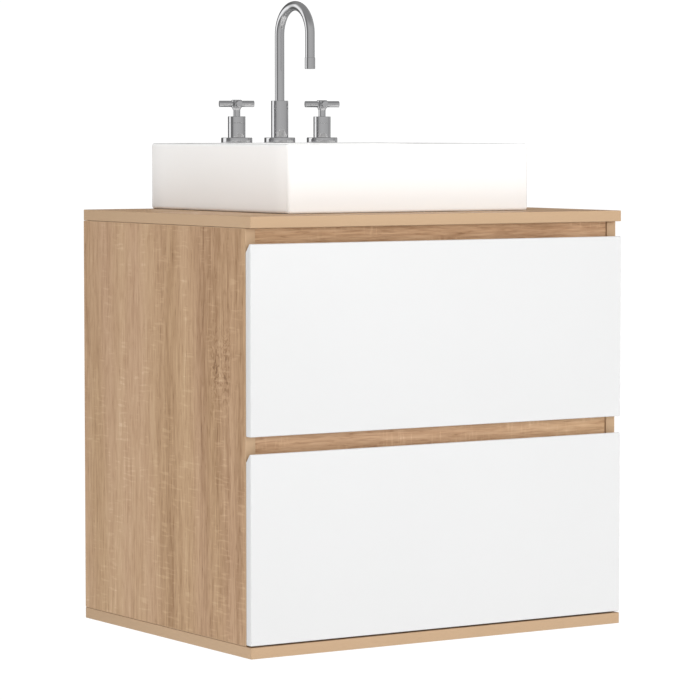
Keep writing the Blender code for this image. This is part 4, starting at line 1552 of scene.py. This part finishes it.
@dataclass
class Studio:
    """Camera, pale floor and soft light."""

    position: tuple[float, float, float] = (-2.5525, -3.9391, 0.6900)
    heading: float = 32.927
    tilt: float = -3.781
    lens: float = 173.45
    floor_z: float = -0.32
    floor_reach: float = 30.0
    ambient: float = 0.50
    key: float = 98.0
    side: float = 40.0
    top: float = 52.0
    glow: float = 0.35
    room: float = 1.6
    overhead: float = 0.22
    panels: tuple[tuple[float, float], ...] = (
        (0.0, 0.10), (0.160, 0.08), (0.188, 0.85), (0.262, 0.85), (0.280, 0.13), (0.355, 0.15),
        (0.395, 0.35), (0.50, 0.39), (0.66, 0.36), (0.76, 0.33), (0.79, 0.22), (0.82, 0.32),
        (0.94, 0.28), (1.0, 0.10),
    )

    def camera(self) -> None:
        """The camera, a little above the sink and looking slightly down."""
        data = bpy.data.cameras.new("camera")
        data.lens = self.lens
        data.sensor_width = 36.0
        data.clip_start, data.clip_end = 0.05, 100.0
        made = bpy.data.objects.new("camera", data)
        bpy.context.scene.collection.objects.link(made)
        made.location = self.position
        made.rotation_euler = (
            math.radians(90.0 + self.tilt), 0.0, -math.radians(self.heading)
        )
        bpy.context.scene.camera = made

    def light(
        self, name: str, place: tuple, target: tuple, size: tuple[float, float], power: float
    ) -> None:
        """One soft rectangular light.

        Args:
            name: Its name.
            place: Where it stands.
            target: What it faces.
            size: Its width and height.
            power: Its power in watts.
        """
        data = bpy.data.lights.new(name, "AREA")
        data.shape = "RECTANGLE"
        data.size, data.size_y = size
        data.energy = power
        made = bpy.data.objects.new(name, data)
        made.location = place
        made.visible_glossy = False
        way = Vector(target) - Vector(place)
        made.rotation_euler = way.to_track_quat("-Z", "Y").to_euler()
        bpy.context.scene.collection.objects.link(made)

    def world(self) -> None:
        """An even white surround, with a room of panels and dark gaps for polished metal.

        Reflected rays read the compass direction t = (angle round Z - start) / full turn, wrapped
        to 0..1, from a ramp of panels, which fade to plain grey overhead.
        """
        made = bpy.data.worlds.new("surround")
        made.use_nodes = True
        bpy.context.scene.world = made
        graph = Graph(made.node_tree)
        shade = made.node_tree.nodes["Background"]
        shade.inputs["Color"].default_value = WHITE
        shade.inputs["Strength"].default_value = self.ambient
        seen = graph.node("ShaderNodeBackground")
        seen.inputs["Color"].default_value = WHITE
        seen.inputs["Strength"].default_value = SEEN_WHITE
        room = graph.node("ShaderNodeBackground")
        room.inputs["Strength"].default_value = self.room
        x, y, z = graph.parts(graph.node("ShaderNodeTexCoord").outputs["Generated"])
        angle = graph.math("ARCTAN2", y, x)
        start = math.radians(270.0 - self.heading - 180.0)
        share = graph.math("DIVIDE", graph.minus(angle, start), FULL_TURN)
        panels = graph.ramp(graph.math("FRACT", share), [
            (place, (level, level, level, 1.0)) for place, level in self.panels
        ])
        height = graph.math("ABSOLUTE", z)
        high = graph.ease(height, 0.30, 0.80)
        plain = (self.overhead, self.overhead, self.overhead, 1.0)
        graph.feed(room.inputs["Color"], graph.mix(high, panels, plain))
        rays = graph.node("ShaderNodeLightPath")
        polished = graph.either(
            rays.outputs["Is Glossy Ray"], shade.outputs[0], room.outputs[0]
        )
        mixed = graph.either(rays.outputs["Is Camera Ray"], polished, seen.outputs[0])
        graph.feed(made.node_tree.nodes["World Output"].inputs["Surface"], mixed)

    def floor(self) -> None:
        """A wide floor below the hanging cabinet, seen as plain white and lit by a soft glow."""
        edge = self.floor_reach
        corners = np.array([[-edge, -edge], [edge, -edge], [edge, edge], [-edge, edge]])
        mesh = bpy.data.meshes.new("floor")
        points = np.concatenate([corners, np.full((4, 1), self.floor_z)], axis=1)
        mesh.from_pydata(points.tolist(), [], [[0, 1, 2, 3]])
        made = bpy.data.objects.new("floor", mesh)
        bpy.context.scene.collection.objects.link(made)
        look = bpy.data.materials.new("pale_floor")
        look.use_nodes = True
        shader = look.node_tree.nodes["Principled BSDF"]
        shader.inputs["Base Color"].default_value = (0.92, 0.92, 0.92, 1.0)
        shader.inputs["Roughness"].default_value = 0.9
        shader.inputs["Emission Color"].default_value = WHITE
        shader.inputs["Emission Strength"].default_value = self.glow
        graph = Graph(look.node_tree)
        plain = graph.node("ShaderNodeEmission")
        plain.inputs["Strength"].default_value = SEEN_WHITE
        rays = graph.node("ShaderNodeLightPath")
        mixed = graph.either(rays.outputs["Is Camera Ray"], shader.outputs[0], plain.outputs[0])
        graph.feed(look.node_tree.nodes["Material Output"].inputs["Surface"], mixed)
        mesh.materials.append(look)
        made.visible_glossy = False

    def build(self) -> None:
        """Everything that isn't the vanity."""
        self.camera()
        self.world()
        self.floor()
        self.light("key", (1.2, -4.4, 1.6), (0.0, 0.0, 0.4), (3.2, 2.4), self.key)
        self.light("side", (-4.4, -0.8, 1.0), (0.0, 0.0, 0.4), (2.8, 2.4), self.side)
        self.light("top", (-0.6, -0.8, 3.6), (0.0, 0.0, 0.3), (3.0, 3.0), self.top)
        scene = bpy.context.scene
        scene.view_settings.view_transform = "Standard"
        scene.view_settings.look = "None"


def main() -> None:
    """Builds the studio and every sub-assembly in order."""
    logging.basicConfig(level=logging.INFO, format="%(message)s")
    dresser, palette = Dresser(), Palette()
    shared = {"dresser": dresser, "palette": palette}
    Studio().build()
    Carcass(**shared).build()
    DrawerFront("upper_drawer", Body.UPPER_DRAWER, **shared).build()
    DrawerFront("lower_drawer", Body.LOWER_DRAWER, **shared).build()
    DrawerBox(
        "upper_drawer", Body.UPPER_DRAWER,
        {"left_side": Axis.X, "right_side": Axis.X, "left_back": Axis.Y, "right_back": Axis.Y},
        notched=True, **shared,
    ).build()
    DrawerBox(
        "lower_drawer", Body.LOWER_DRAWER,
        {"left_side": Axis.X, "right_side": Axis.X, "back": Axis.Y, "base": Axis.Z}, **shared,
    ).build()
    Runners("upper", Body.UPPER_DRAWER, Body.UPPER_MIDDLE, **shared).build()
    Runners("lower", Body.LOWER_DRAWER, Body.LOWER_MIDDLE, **shared).build()
    VesselSink(**shared).build()
    Plumbing(**shared).build()
    for name in ("hot", "cold"):
        TapBase(name, bore=0.0056, bore_depth=0.018, joint=0.0091, **shared).build()
    TapBase("spout", bore=0.0072, bore_depth=0.0303, **shared).build()
    CrossHandle("hot", Body.HOT_HANDLE, **shared).build()
    CrossHandle("cold", Body.COLD_HANDLE, **shared).build()
    Gooseneck(**shared).build()


if __name__ == "__main__":
    main()
